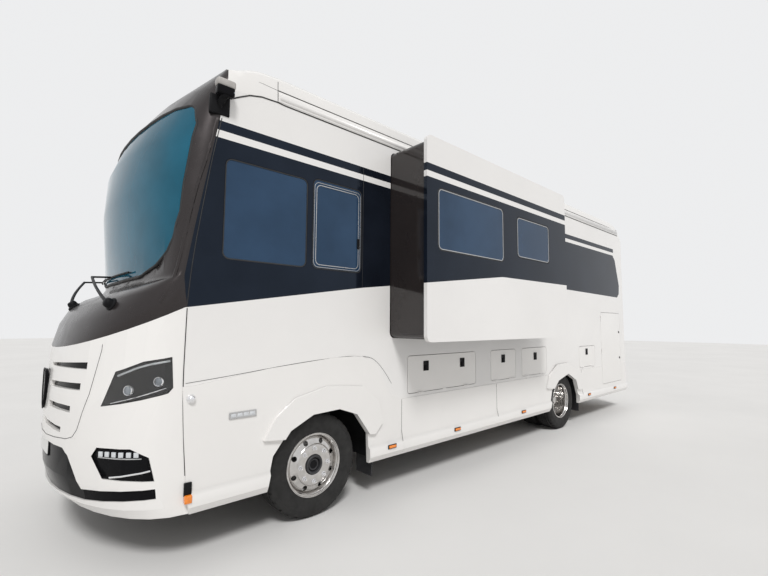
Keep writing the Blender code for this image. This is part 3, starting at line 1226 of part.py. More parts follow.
# The seat's outline from its foot, as (x, z) shares of SEAT_DEPTH and SEAT_HEIGHT.
SEAT_DEPTH = 0.66
SEAT_HEIGHT = 1.15
SEAT_SETBACK = 0.76
SEAT_FOOT_X = DASH_FOOT_X - SEAT_SETBACK
SEAT_SHARES = [(0.20, 0.0), (0.70, 0.0), (0.68, 0.26), (0.97, 0.29), (1.0, 0.385), (0.36, 0.37), (0.21, 0.82),
               (0.15, 1.0), (0.0, 1.0), (0.03, 0.82), (0.12, 0.31), (0.24, 0.26)]
DASH_CLEARANCE = 0.19
DASH_HALF_WIDTH = HALF_WIDTH - DASH_CLEARANCE
DASH_DEPTH_SHARE = 0.158
DASH_DEPTH = NOSE_REACH * DASH_DEPTH_SHARE
DASH_HEIGHT = 0.49
DASH_SHARES = [(0.0, 0.0), (0.71, 0.0), (1.0, 0.69), (0.93, 0.98), (0.21, 1.0), (-0.29, 0.90), (-0.14, 0.61),
               (0.11, 0.49)]


def make_cab():
    foot = CABIN_FLOOR_TOP + RUNNING_GAP
    dash = [(DASH_FOOT_X + x * DASH_DEPTH, foot + z * DASH_HEIGHT) for x, z in DASH_SHARES]
    board = plate("dash", dash, "side", -DASH_HALF_WIDTH, DASH_HALF_WIDTH)
    axis = WHEEL_AXIS.normalized()
    start = STEERING_CENTRE - axis * (SPOKE + RUNNING_GAP)
    column = rod("column", start - axis * COLUMN_LENGTH, start, COLUMN_RADIUS)
    keep(joined(board, column), "dashboard", black_plastic())

    ring = [(STEERING_RADIUS + STEERING_TUBE * math.cos(math.tau * step / 6),
             STEERING_TUBE * math.sin(math.tau * step / 6)) for step in range(6)]
    wheel = turned("ring", ring, Vector())
    pieces = [rod("boss", (0, -SPOKE, 0), (0, SPOKE, 0), COLUMN_RADIUS * 2, steps=WHEEL_STEPS)]
    for x, z in around(3, STEERING_RADIUS, -math.pi / 2):
        pieces.append(rod("spoke", (0, 0, 0), (x * SPOKE_SHARE, 0, z * SPOKE_SHARE), SPOKE * 0.6, steps=6))
    wheel = joined(wheel, *pieces)
    turn = Vector((0, 1, 0)).rotation_difference(axis).to_matrix().to_4x4()
    wheel.data.transform(Matrix.Translation(STEERING_CENTRE) @ turn)
    keep(wheel, "steering_wheel", black_plastic())
    seat = [(SEAT_FOOT_X + x * SEAT_DEPTH, foot + z * SEAT_HEIGHT) for x, z in SEAT_SHARES]
    for side, word in ((1, "driver"), (-1, "passenger")):
        low, high = side * (SEAT_Y - SEAT_HALF_WIDTH), side * (SEAT_Y + SEAT_HALF_WIDTH)
        keep(plate("seat", seat, "side", min(low, high), max(low, high)), word + "_seat", trim_leather())


MIRROR_PLACE_SHARE = 0.4774
MIRROR_BACK_X = NOSE_REACH * MIRROR_PLACE_SHARE
MIRROR_LENGTH = 0.17
MIRROR_WIDTH = 0.10
MIRROR_DEPTH = 0.15
MIRROR_STEM = 0.05
MIRROR_STEM_SHARE = 0.75


def make_mirror_arms():
    for side, word in ((1, "left"), (-1, "right")):
        head = span_box("head", (MIRROR_BACK_X, side * MIRROR_OUT_Y, MIRROR_HEIGHT - MIRROR_DEPTH),
                        (MIRROR_BACK_X + MIRROR_LENGTH, side * (MIRROR_OUT_Y - MIRROR_WIDTH), MIRROR_HEIGHT))
        edge = head.modifiers.new("edges", "BEVEL")
        edge.width = MIRROR_DEPTH / 4
        edge.segments = 2
        head = applied(head)
        stem = span_box("stem", (MIRROR_BACK_X + MIRROR_STEM / 2, side * (HALF_WIDTH + RUNNING_GAP),
                                 MIRROR_HEIGHT - MIRROR_DEPTH * MIRROR_STEM_SHARE - MIRROR_STEM / 2),
                        (MIRROR_BACK_X + MIRROR_STEM * 1.5, side * (MIRROR_OUT_Y - MIRROR_WIDTH / 2),
                         MIRROR_HEIGHT - MIRROR_DEPTH * MIRROR_STEM_SHARE + MIRROR_STEM / 2))
        keep(joined(head, stem), "mirror_arm_" + word, black_plastic())


def main():
    make_front()
    make_side_walls()
    make_doors()
    make_windows()
    make_side_room()
    make_skirts()
    make_rear_wall()
    make_floors()
    make_chassis()
    make_axles()
    make_knuckles()
    make_wheels()
    make_cab()
    make_mirror_arms()


clear_scene()
coach = new_collection("motorhome")
coach_frame = bpy.data.objects.new("coach_frame", None)
coach_frame.location = (-BOX_MIDDLE_X, -BOX_MIDDLE_Y, 0)
coach.objects.link(coach_frame)
main()
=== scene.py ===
"""The motorhome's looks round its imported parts: paint, glass, lamps, trim, tyres, seats and a plain stage."""

import json
import math

import bmesh
import bpy
from mathutils import Matrix, Vector
from mathutils.bvhtree import BVHTree

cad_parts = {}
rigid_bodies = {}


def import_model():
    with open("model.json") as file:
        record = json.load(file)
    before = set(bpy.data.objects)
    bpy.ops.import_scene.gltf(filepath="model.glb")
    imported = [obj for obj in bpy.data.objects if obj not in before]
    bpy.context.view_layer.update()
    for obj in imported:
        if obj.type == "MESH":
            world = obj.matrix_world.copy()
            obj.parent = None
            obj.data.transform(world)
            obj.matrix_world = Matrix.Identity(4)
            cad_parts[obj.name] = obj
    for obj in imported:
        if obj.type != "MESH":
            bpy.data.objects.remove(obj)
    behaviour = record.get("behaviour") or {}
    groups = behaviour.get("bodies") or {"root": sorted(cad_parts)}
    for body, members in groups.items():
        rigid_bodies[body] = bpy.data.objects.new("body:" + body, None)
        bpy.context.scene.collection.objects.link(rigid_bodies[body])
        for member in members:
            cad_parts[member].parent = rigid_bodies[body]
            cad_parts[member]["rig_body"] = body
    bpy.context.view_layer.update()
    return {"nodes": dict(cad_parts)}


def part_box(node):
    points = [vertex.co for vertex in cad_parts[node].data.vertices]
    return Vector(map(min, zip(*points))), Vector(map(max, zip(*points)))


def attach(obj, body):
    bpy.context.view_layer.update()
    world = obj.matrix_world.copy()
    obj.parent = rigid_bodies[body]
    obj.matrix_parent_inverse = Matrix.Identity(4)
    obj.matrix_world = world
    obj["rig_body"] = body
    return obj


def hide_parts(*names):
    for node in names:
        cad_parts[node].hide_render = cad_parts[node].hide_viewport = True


bl_info = {
    "name": "Motorhome looks",
    "version": (1, 0, 0),
    "blender": (4, 5, 0),
    "location": "View3D > Sidebar > Coach",
    "description": "Dresses the packed motorhome in paint, glass, lamps, trim, tyres and seats on a stage",
    "category": "Object",
}

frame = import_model()

# Places that everything else is measured from: the front axle on the ground, in the middle of the coach.
TYRE_LOW, TYRE_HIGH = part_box("tyre_front_left")
REAR_LOW, REAR_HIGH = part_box("tyre_rear_left")
ROOF_LOW, ROOF_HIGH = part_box("roof")
ORIGIN = Vector(((TYRE_LOW.x + TYRE_HIGH.x) / 2, (ROOF_LOW.y + ROOF_HIGH.y) / 2, 0))
WHEELBASE = (TYRE_LOW.x - REAR_LOW.x + TYRE_HIGH.x - REAR_HIGH.x) / 2
TAIL_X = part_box("rear_wall")[0].x - ORIGIN.x
UP = Vector((0, 0, 1))
SIDES = ((1, "left"), (-1, "right"))


def at(x, y, z):
    """A place measured from the front axle, the coach's middle and the ground."""
    return ORIGIN + Vector((x, y, z))


# Sizes and colours that a user would change.
def colour_setting(name, description, default):
    """A colour that a user can change."""
    return bpy.props.FloatVectorProperty(name=name, description=description, subtype="COLOR", min=0, max=1,
                                         default=default)


def length_setting(name, description, default):
    """A length that a user can change."""
    return bpy.props.FloatProperty(name=name, description=description, unit="LENGTH", default=default)


class CoachColours(bpy.types.PropertyGroup):
    white: colour_setting("White paint", "Colour of walls, roof, mask and doors", (0.83, 0.812, 0.79))
    band: colour_setting("Dark band", "Colour of the band round the windows and of the thin stripe",
                         (0.0065, 0.0085, 0.0135))
    graphite: colour_setting("Graphite", "Metallic paint round the windscreen", (0.034, 0.029, 0.029))
    room_side: colour_setting("Side room box", "Dark gloss sides of the side room", (0.026, 0.021, 0.020))
    screen: colour_setting("Windscreen tint", "Tint of the windscreen", (0.022, 0.150, 0.230))
    glass: colour_setting("Window tint", "Tint of the side windows", (0.030, 0.062, 0.115))
    amber: colour_setting("Amber lenses", "Colour of the marker lamps", (0.86, 0.24, 0.02))
    red: colour_setting("Red lenses", "Colour of the tail lamps", (0.46, 0.012, 0.012))


class CoachStripes(bpy.types.PropertyGroup):
    band_top: length_setting("Band top", "Height of the dark band's upper edge", 3.024)
    line_top: length_setting("White line top", "Height of the white line's upper edge", 3.082)
    stripe_top: length_setting("Stripe top", "Height of the thin dark stripe's upper edge", 3.156)
    stripe_end: length_setting("Stripe end", "Where the thin stripe ends behind the front axle", 6.95)


class CoachTrim(bpy.types.PropertyGroup):
    seam: length_setting("Seam", "Width of a dark panel seam", 0.007)
    frame_width: length_setting("Window frame", "Width of a window's rounded frame", 0.024)
    frame_proud: length_setting("Frame rise", "How far a window frame stands off the wall", 0.006)
    latch_width: length_setting("Latch width", "Width of a locker latch", 0.082)
    latch_height: length_setting("Latch height", "Height of a locker latch", 0.105)
    nuts: bpy.props.IntProperty(
        name="Wheel nuts", description="Nuts on each wheel", min=5, max=12, default=8)
    nut_circle: length_setting("Nut circle", "Radius of the circle that the wheel nuts stand on", 0.1375)


class CoachStage(bpy.types.PropertyGroup):
    sun: bpy.props.FloatProperty(
        name="Key light", description="Strength of the soft key light", min=0, default=1.9)
    fill: bpy.props.FloatProperty(
        name="Fill light", description="Strength of the even light from all round", min=0, default=0.56)
    backdrop: bpy.props.FloatProperty(
        name="Backdrop", description="Paleness of the background, 1 is white", min=0, max=1, default=0.86)
    floor: length_setting("Floor size", "Width of the plain floor", 90.0)


# Modelling steps that the pieces share.
SAME_PLACE = 0.00002  # corners closer than this are one
SQUARE_ON = 0.98  # a face's share of a direction from which it counts as pointing there
OUTSIDE_Y, AHEAD_X = 2.6, 3.0  # clear of the sides and of the nose


def clear_choice():
    """Object mode with nothing selected."""
    if bpy.context.mode != "OBJECT":
        bpy.ops.object.mode_set(mode="OBJECT")
    bpy.ops.object.select_all(action="DESELECT")


def choose(piece):
    """One piece selected and active."""
    clear_choice()
    piece.select_set(True)
    bpy.context.view_layer.objects.active = piece


def open_mesh(piece, action="DESELECT", kind="FACE"):
    """Edit mode with nothing selected, or with everything."""
    choose(piece)
    bpy.ops.object.mode_set(mode="EDIT")
    bpy.ops.mesh.select_mode(type=kind)
    bpy.ops.mesh.select_all(action=action)


def pick(piece, test, kind="FACE"):
    """Selects the faces, edges or corners that pass the test and gives their number."""
    bpy.ops.mesh.select_mode(type=kind)
    bpy.ops.mesh.select_all(action="DESELECT")
    mesh = bmesh.from_edit_mesh(piece.data)
    items = {"FACE": mesh.faces, "EDGE": mesh.edges, "VERT": mesh.verts}[kind]
    chosen = [item for item in items if test(item)]
    for item in chosen:
        item.select_set(True)
    mesh.select_flush_mode()
    bmesh.update_edit_mesh(piece.data)
    return len(chosen)


def close_mesh():
    """Back to object mode."""
    bpy.ops.object.mode_set(mode="OBJECT")


def tidy_mesh(piece):
    """Doubles merged and faces turned outwards."""
    open_mesh(piece, "SELECT")
    bpy.ops.mesh.remove_doubles(threshold=SAME_PLACE)
    bpy.ops.mesh.normals_make_consistent(inside=False)
    close_mesh()


def modify(piece, kind, **values):
    """One modifier, applied."""
    choose(piece)
    bpy.ops.object.modifier_add(type=kind)
    modifier = piece.modifiers[-1]
    for name, value in values.items():
        setattr(modifier, name, value)
    bpy.ops.object.modifier_apply(modifier=modifier.name)
    return piece


def smooth(piece, degrees=32):
    """Smooth shading up to an angle between faces."""
    choose(piece)
    bpy.ops.object.shade_smooth_by_angle(angle=math.radians(degrees))
    return piece


def settle(piece):
    """The object at the origin, unturned and unscaled, its place in its mesh."""
    choose(piece)
    bpy.ops.object.transform_apply(location=True, rotation=True, scale=True)
    return piece


def block(name, low, high, edge=0.0, steps=2):
    """A cuboid between two places, with its edges rounded."""
    low, high = at(*low), at(*high)
    clear_choice()
    bpy.ops.mesh.primitive_cube_add(size=1, location=(low + high) / 2)
    piece = bpy.context.object
    piece.name = name
    piece.scale = [abs(side) for side in high - low]
    settle(piece)
    if edge:
        open_mesh(piece, "SELECT")
        bpy.ops.mesh.bevel(offset=edge, segments=steps, affect="EDGES")
        close_mesh()
        smooth(piece, 40)
    return piece


def rod(name, start, end, radius, end_radius=None, sides=24, edge=0.0):
    """A round bar or cone between two places, with rounded ends."""
    start, end = at(*start), at(*end)
    clear_choice()
    bpy.ops.mesh.primitive_cone_add(
        vertices=sides, radius1=radius, radius2=radius if end_radius is None else end_radius,
        depth=(end - start).length, location=(start + end) / 2,
        rotation=(end - start).to_track_quat("Z", "Y").to_euler())
    piece = bpy.context.object
    piece.name = name
    settle(piece)
    if edge:
        open_mesh(piece)
        pick(piece, lambda e: any(len(f.verts) > 4 for f in e.link_faces), "EDGE")
        bpy.ops.mesh.bevel(offset=edge, segments=2, affect="EDGES")
        close_mesh()
    return smooth(piece, 40)


def drawn_line(name, points):
    """A line of corners, extruded one after another."""
    clear_choice()
    bpy.ops.mesh.primitive_plane_add(size=0.01, location=(0, 0, 0))
    piece = bpy.context.object
    piece.name = name
    bpy.ops.object.mode_set(mode="EDIT")
    bpy.ops.mesh.select_mode(type="VERT")
    bpy.ops.mesh.select_all(action="SELECT")
    bpy.ops.mesh.merge(type="CENTER")
    bpy.ops.transform.translate(value=points[0])
    for last, point in zip(points, points[1:]):
        bpy.ops.mesh.extrude_region_move(TRANSFORM_OT_translate={"value": Vector(point) - Vector(last)})
    close_mesh()
    return piece


def turned(name, outline, centre, axis, steps=48, closed=False, angle=40):
    """A round body: (radius, offset along the axis) corners, drawn as a line and spun once round."""
    if closed:
        outline = list(outline) + [outline[0]]
    piece = drawn_line(name, [Vector((radius, 0, offset)) for radius, offset in outline])
    open_mesh(piece, "SELECT", "VERT")
    bpy.ops.mesh.spin(steps=steps, angle=math.tau, center=(0, 0, 0), axis=(0, 0, 1))
    bpy.ops.mesh.select_all(action="SELECT")
    bpy.ops.mesh.remove_doubles(threshold=SAME_PLACE)
    bpy.ops.mesh.normals_make_consistent(inside=False)
    close_mesh()
    piece.rotation_euler = Vector(axis).to_track_quat("Z", "Y").to_euler()
    piece.location = at(*centre)
    settle(piece)
    return smooth(piece, angle)


def outline_sheet(name, points):
    """A flat face inside a closed run of corners."""
    piece = drawn_line(name, [at(*point) for point in points])
    open_mesh(piece, "SELECT", "VERT")
    bpy.ops.mesh.edge_face_add()
    close_mesh()
    return piece


def thickened(piece, thickness, offset=0.0, edge=0.0):
    """A sheet given its thickness, with rounded edges."""
    modify(piece, "SOLIDIFY", thickness=thickness, offset=offset, use_even_offset=True)
    if edge:
        modify(piece, "BEVEL", width=edge, segments=2, limit_method="ANGLE", angle_limit=math.radians(40))
    tidy_mesh(piece)
    return smooth(piece, 40)


def rounded_face(name, low, high, wall, corner, steps=6):
    """An upright face on a side wall, with round corners. low and high are (x, z) and wall is its y."""
    clear_choice()
    middle = at((low[0] + high[0]) / 2, wall, (low[1] + high[1]) / 2)
    bpy.ops.mesh.primitive_plane_add(size=1, location=middle, rotation=(math.pi / 2, 0, 0))
    piece = bpy.context.object
    piece.name = name
    piece.scale = (abs(high[0] - low[0]), abs(high[1] - low[1]), 1)
    settle(piece)
    open_mesh(piece, "SELECT")
    bpy.ops.mesh.bevel(offset=corner, segments=steps, affect="VERTICES")
    close_mesh()
    return piece


def rounded_frame(name, low, high, wall, corner, width, proud, edge=0.0015):
    """A rounded frame round a window: a round-cornered face, inset, its middle taken out, thickened."""
    piece = rounded_face(name, low, high, wall, corner)
    open_mesh(piece, "SELECT")
    bpy.ops.mesh.inset(thickness=width, depth=0)
    bpy.ops.mesh.delete(type="FACE")
    close_mesh()
    return thickened(piece, proud * 2, 0.0, edge)


def bead(name, points, thickness, smooth_run=False, closed=False):
    """A thin round bead along a run of places, made a mesh."""
    clear_choice()
    curve = bpy.data.curves.new(name, "CURVE")
    curve.dimensions = "3D"
    curve.bevel_depth = thickness / 2
    curve.bevel_resolution = 1
    curve.use_fill_caps = True
    run = curve.splines.new("NURBS" if smooth_run else "POLY")
    run.points.add(len(points) - 1)
    for knot, point in zip(run.points, points):
        knot.co = (*at(*point), 1)
    if smooth_run:
        run.order_u = 3
        run.use_endpoint_u = True
        run.resolution_u = 6
    run.use_cyclic_u = closed
    piece = bpy.data.objects.new(name, curve)
    bpy.context.scene.collection.objects.link(piece)
    choose(piece)
    bpy.ops.object.convert(target="MESH")
    return smooth(bpy.context.object, 60)


def copied(piece, name):
    """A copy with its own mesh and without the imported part's notes."""
    choose(piece)
    bpy.ops.object.duplicate()
    twin = bpy.context.object
    for key in list(twin.keys()):
        del twin[key]
    bpy.ops.object.parent_clear(type="CLEAR_KEEP_TRANSFORM")
    twin.name = name
    return twin


def dressed(node, angle=34, name=None, shape=None):
    """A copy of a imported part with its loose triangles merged, shaped if asked, shaded smoothly."""
    piece = copied(frame["nodes"][node], name or node + "_finished")
    open_mesh(piece, "SELECT")
    bpy.ops.mesh.remove_doubles(threshold=SAME_PLACE)
    bpy.ops.mesh.dissolve_limited(angle_limit=math.radians(0.4))
    close_mesh()
    if shape:
        shape(piece)
    smooth(piece, angle)
    modify(piece, "WEIGHTED_NORMAL", keep_sharp=True)
    return piece


def body_of(node):
    """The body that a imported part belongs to."""
    return frame["nodes"][node]["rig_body"]


def place(piece, body, finish, stands_for=(), slot=None):
    """The piece gets its finish, rides on its body and stands for the parts that it replaces."""
    piece.data.materials.clear()
    piece.data.materials.append(FINISHES[finish])
    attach(piece, body)
    if stands_for:
        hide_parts(*stands_for)
    return piece


def dished(piece, facing, rim, depth, least_area=0.0):
    """A field inside a rim, sunk or raised, in the faces that point one way."""
    facing = Vector(facing)
    open_mesh(piece)
    pick(piece, lambda face: face.normal.dot(facing) > SQUARE_ON and face.calc_area() > least_area)
    bpy.ops.mesh.inset(thickness=rim, depth=depth)
    close_mesh()
    return piece


def stepped(piece, facing, squareness, rim, step):
    """A further level inside a rim, in the faces that point one way."""
    facing = Vector(facing)
    open_mesh(piece)
    pick(piece, lambda face: face.normal.dot(facing) > squareness)
    bpy.ops.mesh.inset(thickness=rim, depth=0)
    bpy.ops.mesh.extrude_region_move(TRANSFORM_OT_translate={"value": facing * step})
    close_mesh()
    return piece


def sliced(piece, places, facing):
    """Cut right through at each place, square to one direction."""
    open_mesh(piece)
    for spot in places:
        bpy.ops.mesh.select_all(action="SELECT")
        bpy.ops.mesh.bisect(plane_co=spot, plane_no=facing)
    close_mesh()


def joined(name, pieces):
    """Several pieces made one."""
    clear_choice()
    for piece in pieces:
        piece.select_set(True)
    bpy.context.view_layer.objects.active = pieces[0]
    if len(pieces) > 1:
        bpy.ops.object.join()
    piece = bpy.context.object
    piece.name = name
    return piece


def shell_tree(*names):
    """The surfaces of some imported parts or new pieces, to rest small pieces on."""
    corners, faces = [], []
    for name in names:
        mesh = (frame["nodes"].get(name) or bpy.data.objects[name]).data
        start = len(corners)
        corners += [vertex.co.copy() for vertex in mesh.vertices]
        faces += [tuple(start + index for index in face.vertices) for face in mesh.polygons]
    return BVHTree.FromPolygons(corners, faces)


def resting(tree, point, direction, lift=0.0):
    """Where a ray from outside meets the surface, and the way that the surface faces there."""
    spot, facing, _, _ = tree.ray_cast(at(*point), Vector(direction))
    if spot is None:
        raise RuntimeError(f"nothing lies under {tuple(round(value, 3) for value in point)}")
    if facing.dot(Vector(direction)) > 0:
        facing = -facing
    return spot - ORIGIN + facing * lift, facing


def on_side(tree, x, z, side=1, lift=0.0):
    """A place on the coach's side and the way it faces."""
    return resting(tree, (x, side * OUTSIDE_Y, z), (0, -side, 0), lift)


def on_front(tree, y, z, lift=0.0):
    """A place on the coach's front and the way it faces."""
    return resting(tree, (AHEAD_X, y, z), (-1, 0, 0), lift)


def set_on(piece, spot, facing):
    """A piece built upright round the zero point is turned to face outwards and put in place."""
    turn = facing.to_track_quat("Z", "Y").to_matrix().to_4x4()
    piece.data.transform(Matrix.Translation(ORIGIN + Vector(spot)) @ turn)
    return piece


def small_block(name, width, height, depth, edge):
    """A rounded block round the zero point: width along x, height along y, standing along z."""
    low, high = Vector((-width / 2, -height / 2, 0)), Vector((width / 2, height / 2, depth))
    return block(name, low - ORIGIN, high - ORIGIN, edge)


def small_turned(name, outline, steps=24, closed=False):
    """A round piece about the zero point's upright axis."""
    return turned(name, outline, -ORIGIN, UP, steps, closed)


# Finishes.
def new_finish(name, colour, roughness, metallic=0.0, coat=0.0, coat_roughness=0.03):
    """A material and its shader, with one colour and gloss all over."""
    finish = bpy.data.materials.new(name)
    finish.use_nodes = True
    finish.diffuse_color = (*colour[:3], 1)
    shader = finish.node_tree.nodes["Principled BSDF"]
    shader.inputs["Metallic"].default_value = metallic
    shader.inputs["Roughness"].default_value = roughness
    shader.inputs["Coat Weight"].default_value = coat
    shader.inputs["Coat Roughness"].default_value = coat_roughness
    return finish, shader


def node(finish, kind, **values):
    """A new shader node with some inputs or settings."""
    made = finish.node_tree.nodes.new("ShaderNode" + kind)
    for name, value in values.items():
        if name in made.inputs:
            made.inputs[name].default_value = value
        else:
            setattr(made, name, value)
    return made


def wire(finish, source, target):
    """A link from one node's output to another's input."""
    finish.node_tree.links.new(source, target)


def feed(finish, made, *values):
    """A node's first inputs get numbers, colours or other nodes' outputs."""
    for socket, value in zip(made.inputs, values):
        if isinstance(value, bpy.types.NodeSocket):
            wire(finish, value, socket)
        else:
            socket.default_value = value
    return made.outputs[0]


def object_place(finish):
    """The place on the object itself, which no movement of a body changes."""
    return node(finish, "TexCoord").outputs["Object"]


def noise(finish, scale, detail=4.0, roughness=0.55):
    """Uneven patches fixed to the object."""
    made = node(finish, "TexNoise", Scale=scale, Detail=detail, Roughness=roughness)
    wire(finish, object_place(finish), made.inputs["Vector"])
    return made.outputs["Fac"]


def between(finish, source, low, high, start=0.3, end=0.7):
    """A value that runs from low to high as the source runs from start to end."""
    made = node(finish, "MapRange")
    for name, value in zip(("From Min", "From Max", "To Min", "To Max"), (start, end, low, high)):
        made.inputs[name].default_value = value
    wire(finish, source, made.inputs["Value"])
    return made.outputs["Result"]


def shades(finish, source, dark, light, start=0.35, end=0.65):
    """Colours from dark to light as the source runs from start to end."""
    ramp = node(finish, "ValToRGB")
    ramp.color_ramp.elements[0].position = start
    ramp.color_ramp.elements[1].position = end
    ramp.color_ramp.elements[0].color = (*dark, 1)
    ramp.color_ramp.elements[1].color = (*light, 1)
    wire(finish, source, ramp.inputs["Fac"])
    return ramp.outputs["Color"]


def bumped(finish, shader, source, distance, strength=1.0, under=None):
    """Relief from a value, over another relief if one is given."""
    made = node(finish, "Bump", Strength=strength, Distance=distance)
    wire(finish, source, made.inputs["Height"])
    if under is not None:
        wire(finish, under, made.inputs["Normal"])
    wire(finish, made.outputs["Normal"], shader.inputs["Normal"])
    return made.outputs["Normal"]


def tinted(colour, by):
    """A colour made darker or lighter by a factor."""
    return tuple(min(1.0, max(0.0, part * by)) for part in colour)


def mottled(finish, shader, colour, patches, dark, light):
    """Patches of a slightly darker and lighter colour."""
    wire(finish, shades(finish, noise(finish, patches), tinted(colour, dark), tinted(colour, light)),
         shader.inputs["Base Color"])


def uneven(finish, shader, patches, low, high):
    """Patches of a slightly different gloss."""
    wire(finish, between(finish, noise(finish, patches), low, high), shader.inputs["Roughness"])


def plain_finish(name, colour, roughness, metallic=0.0, coat=0.0, vary=0.06, patches=3.0, grain=260.0,
                 depth=0.0002, rough_by=0.15, specular=0.5):
    """A finish with patchy colour, uneven gloss and a fine grain."""
    finish, shader = new_finish(name, colour, roughness, metallic, coat)
    shader.inputs["Specular IOR Level"].default_value = specular
    mottled(finish, shader, colour, patches, 1 - vary, 1 + vary)
    uneven(finish, shader, patches * 3, roughness * (1 - rough_by), roughness * (1 + rough_by))
    bumped(finish, shader, noise(finish, grain, 2.0), depth)
    return finish


def maths(finish, operation, first, second):
    """One sum with two values, as a node."""
    return feed(finish, node(finish, "Math", operation=operation), first, second)


def within(finish, value, low, high):
    """1 where the value lies between two others and 0 elsewhere."""
    above, below = maths(finish, "GREATER_THAN", value, low), maths(finish, "LESS_THAN", value, high)
    return maths(finish, "MULTIPLY", above, below)


def blend(finish, share, first, second):
    """The first colour, and the second one by the given share."""
    return feed(finish, node(finish, "MixRGB", blend_type="MIX"), share, first, second)


def edge_curve(finish, source, points, low, high):
    """The height of a drawn line above a place along the coach, or the place of one at a height."""
    (first_in, last_in), (first_out, last_out) = low, high
    made = node(finish, "FloatCurve")
    line = made.mapping.curves[0]
    spots = sorted(((x - first_in) / (last_in - first_in), (y - first_out) / (last_out - first_out))
                   for x, y in points)
    while len(line.points) < len(spots):
        line.points.new(0.5, 0.5)
    for knot, (x, y) in zip(line.points, spots):
        knot.location = (x, y)
        knot.handle_type = "VECTOR"
    made.mapping.use_clip = False
    made.mapping.update()
    wire(finish, between(finish, source, 0, 1, first_in, last_in), made.inputs["Value"])
    return between(finish, made.outputs["Value"], first_out, last_out, 0, 1)


# The band's lower edge as (x, z) places and its slanted end as (z, x) places.
BAND_FOOT = [(-7.60, 2.19), (-7.08, 2.19), (-4.87, 2.22), (-3.63, 2.18), (-2.06, 2.17), (-0.80, 2.02),
             (-0.46, 1.98), (1.10, 1.75), (1.40, 1.71)]
BAND_END = [(1.60, -7.06), (2.19, -7.08), (2.27, -7.18), (2.44, -7.20), (2.94, -7.02), (3.00, -6.94),
            (3.10, -6.90)]


def dirt_and_shine(finish, shader, base, white):
    """Road film low on the paint, a slow ripple in the panels and a fine orange peel."""
    position = node(finish, "SeparateXYZ")
    wire(finish, object_place(finish), position.inputs[0])
    low = between(finish, position.outputs["Z"], 1.0, 0.0, 0.30, 1.15)
    patchy = between(finish, noise(finish, 0.9, 6.0), 0.45, 1.0, 0.30, 0.75)
    film = maths(finish, "MULTIPLY", maths(finish, "MULTIPLY", low, patchy), 0.22)
    wire(finish, blend(finish, film, base, (*tinted(white, 0.70), 1)), shader.inputs["Base Color"])
    ripple = bumped(finish, shader, noise(finish, 1.1, 1.0), 0.0016, 0.5)
    bumped(finish, shader, noise(finish, 420.0, 1.0), 0.00006, 0.35, ripple)


def white_paint(colours):
    white = tuple(colours.white)
    finish, shader = new_finish("white_paint", white, 0.24, 0.0, 0.35)
    base = shades(finish, noise(finish, 0.8), tinted(white, 0.97), tinted(white, 1.01))
    uneven(finish, shader, 5.0, 0.235, 0.265)
    dirt_and_shine(finish, shader, base, white)
    return finish


def striped_paint(colours, stripes):
    """White paint with the dark band, the white line and the thin dark stripe above it."""
    white, band = tuple(colours.white), tuple(colours.band)
    finish, shader = new_finish("striped_paint", white, 0.2)
    shader.inputs["Specular IOR Level"].default_value = 0.30
    # The sky-blue specular tint paints a blue sky reflection into the gloss, seen most on the dark band.
    shader.inputs["Specular Tint"].default_value = (0.55, 0.72, 1.0, 1)
    position = node(finish, "SeparateXYZ")
    wire(finish, object_place(finish), position.inputs[0])
    x, z = maths(finish, "SUBTRACT", position.outputs["X"], ORIGIN.x), position.outputs["Z"]
    foot = edge_curve(finish, x, BAND_FOOT, (-7.60, 1.40), (1.60, 2.40))
    end = edge_curve(finish, z, BAND_END, (1.60, 3.10), (-7.40, -6.80))
    inside = within(finish, z, foot, stripes.band_top)
    inside = maths(finish, "MULTIPLY", inside, maths(finish, "GREATER_THAN", x, end))
    thin = within(finish, z, stripes.line_top, stripes.stripe_top)
    thin = maths(finish, "MULTIPLY", thin, maths(finish, "GREATER_THAN", x, -stripes.stripe_end))
    dark = maths(finish, "MAXIMUM", inside, thin)
    base = shades(finish, noise(finish, 0.8), tinted(white, 0.97), tinted(white, 1.01))
    dark_paint = shades(finish, noise(finish, 2.0), tinted(band, 0.8), tinted(band, 1.3))
    gloss = blend(finish, dark, between(finish, noise(finish, 5.0), 0.235, 0.265),
                  between(finish, noise(finish, 3.0), 0.05, 0.08))
    wire(finish, gloss, shader.inputs["Roughness"])
    dirt_and_shine(finish, shader, blend(finish, dark, base, dark_paint), white)
    return finish


def graphite_paint(colours):
    """Dark metallic paint with fine flakes under a clear coat."""
    graphite = tuple(colours.graphite)
    finish, shader = new_finish("graphite_paint", graphite, 0.30, 0.6, 0.25)
    shader.inputs["Specular IOR Level"].default_value = 0.3
    flakes = node(finish, "TexVoronoi", Scale=900.0)
    wire(finish, object_place(finish), flakes.inputs["Vector"])
    dark, light = tinted(graphite, 0.75), tinted(graphite, 1.5)
    base = shades(finish, flakes.outputs["Distance"], dark, light, 0.2, 0.9)
    wire(finish, base, shader.inputs["Base Color"])
    uneven(finish, shader, 6.0, 0.24, 0.34)
    bumped(finish, shader, noise(finish, 2.0, 1.0), 0.0012, 0.4)
    return finish


def glass_finish(name, tint, see_through, roughness=0.03, sky_reflection_tint=(1.0, 1.0, 1.0), specular=0.5):
    """Tinted glass: a clear share over the tint, with a trace of ripple and smears; its reflections take a
    tint, and a blue one paints a sky reflection into them.
    """
    tint = tuple(tint)
    finish, shader = new_finish(name, tint, roughness, 0.0, 0.0)
    shader.inputs["Transmission Weight"].default_value = see_through
    shader.inputs["IOR"].default_value = 1.5
    shader.inputs["Specular IOR Level"].default_value = specular
    # The specular tint colours the reflections; a blue one is a painted sky reflection.
    shader.inputs["Specular Tint"].default_value = (*sky_reflection_tint, 1)
    mottled(finish, shader, tint, 1.6, 0.85, 1.2)
    uneven(finish, shader, 9.0, roughness, roughness * 2)
    bumped(finish, shader, noise(finish, 1.4, 1.0), 0.001, 0.35)
    return finish


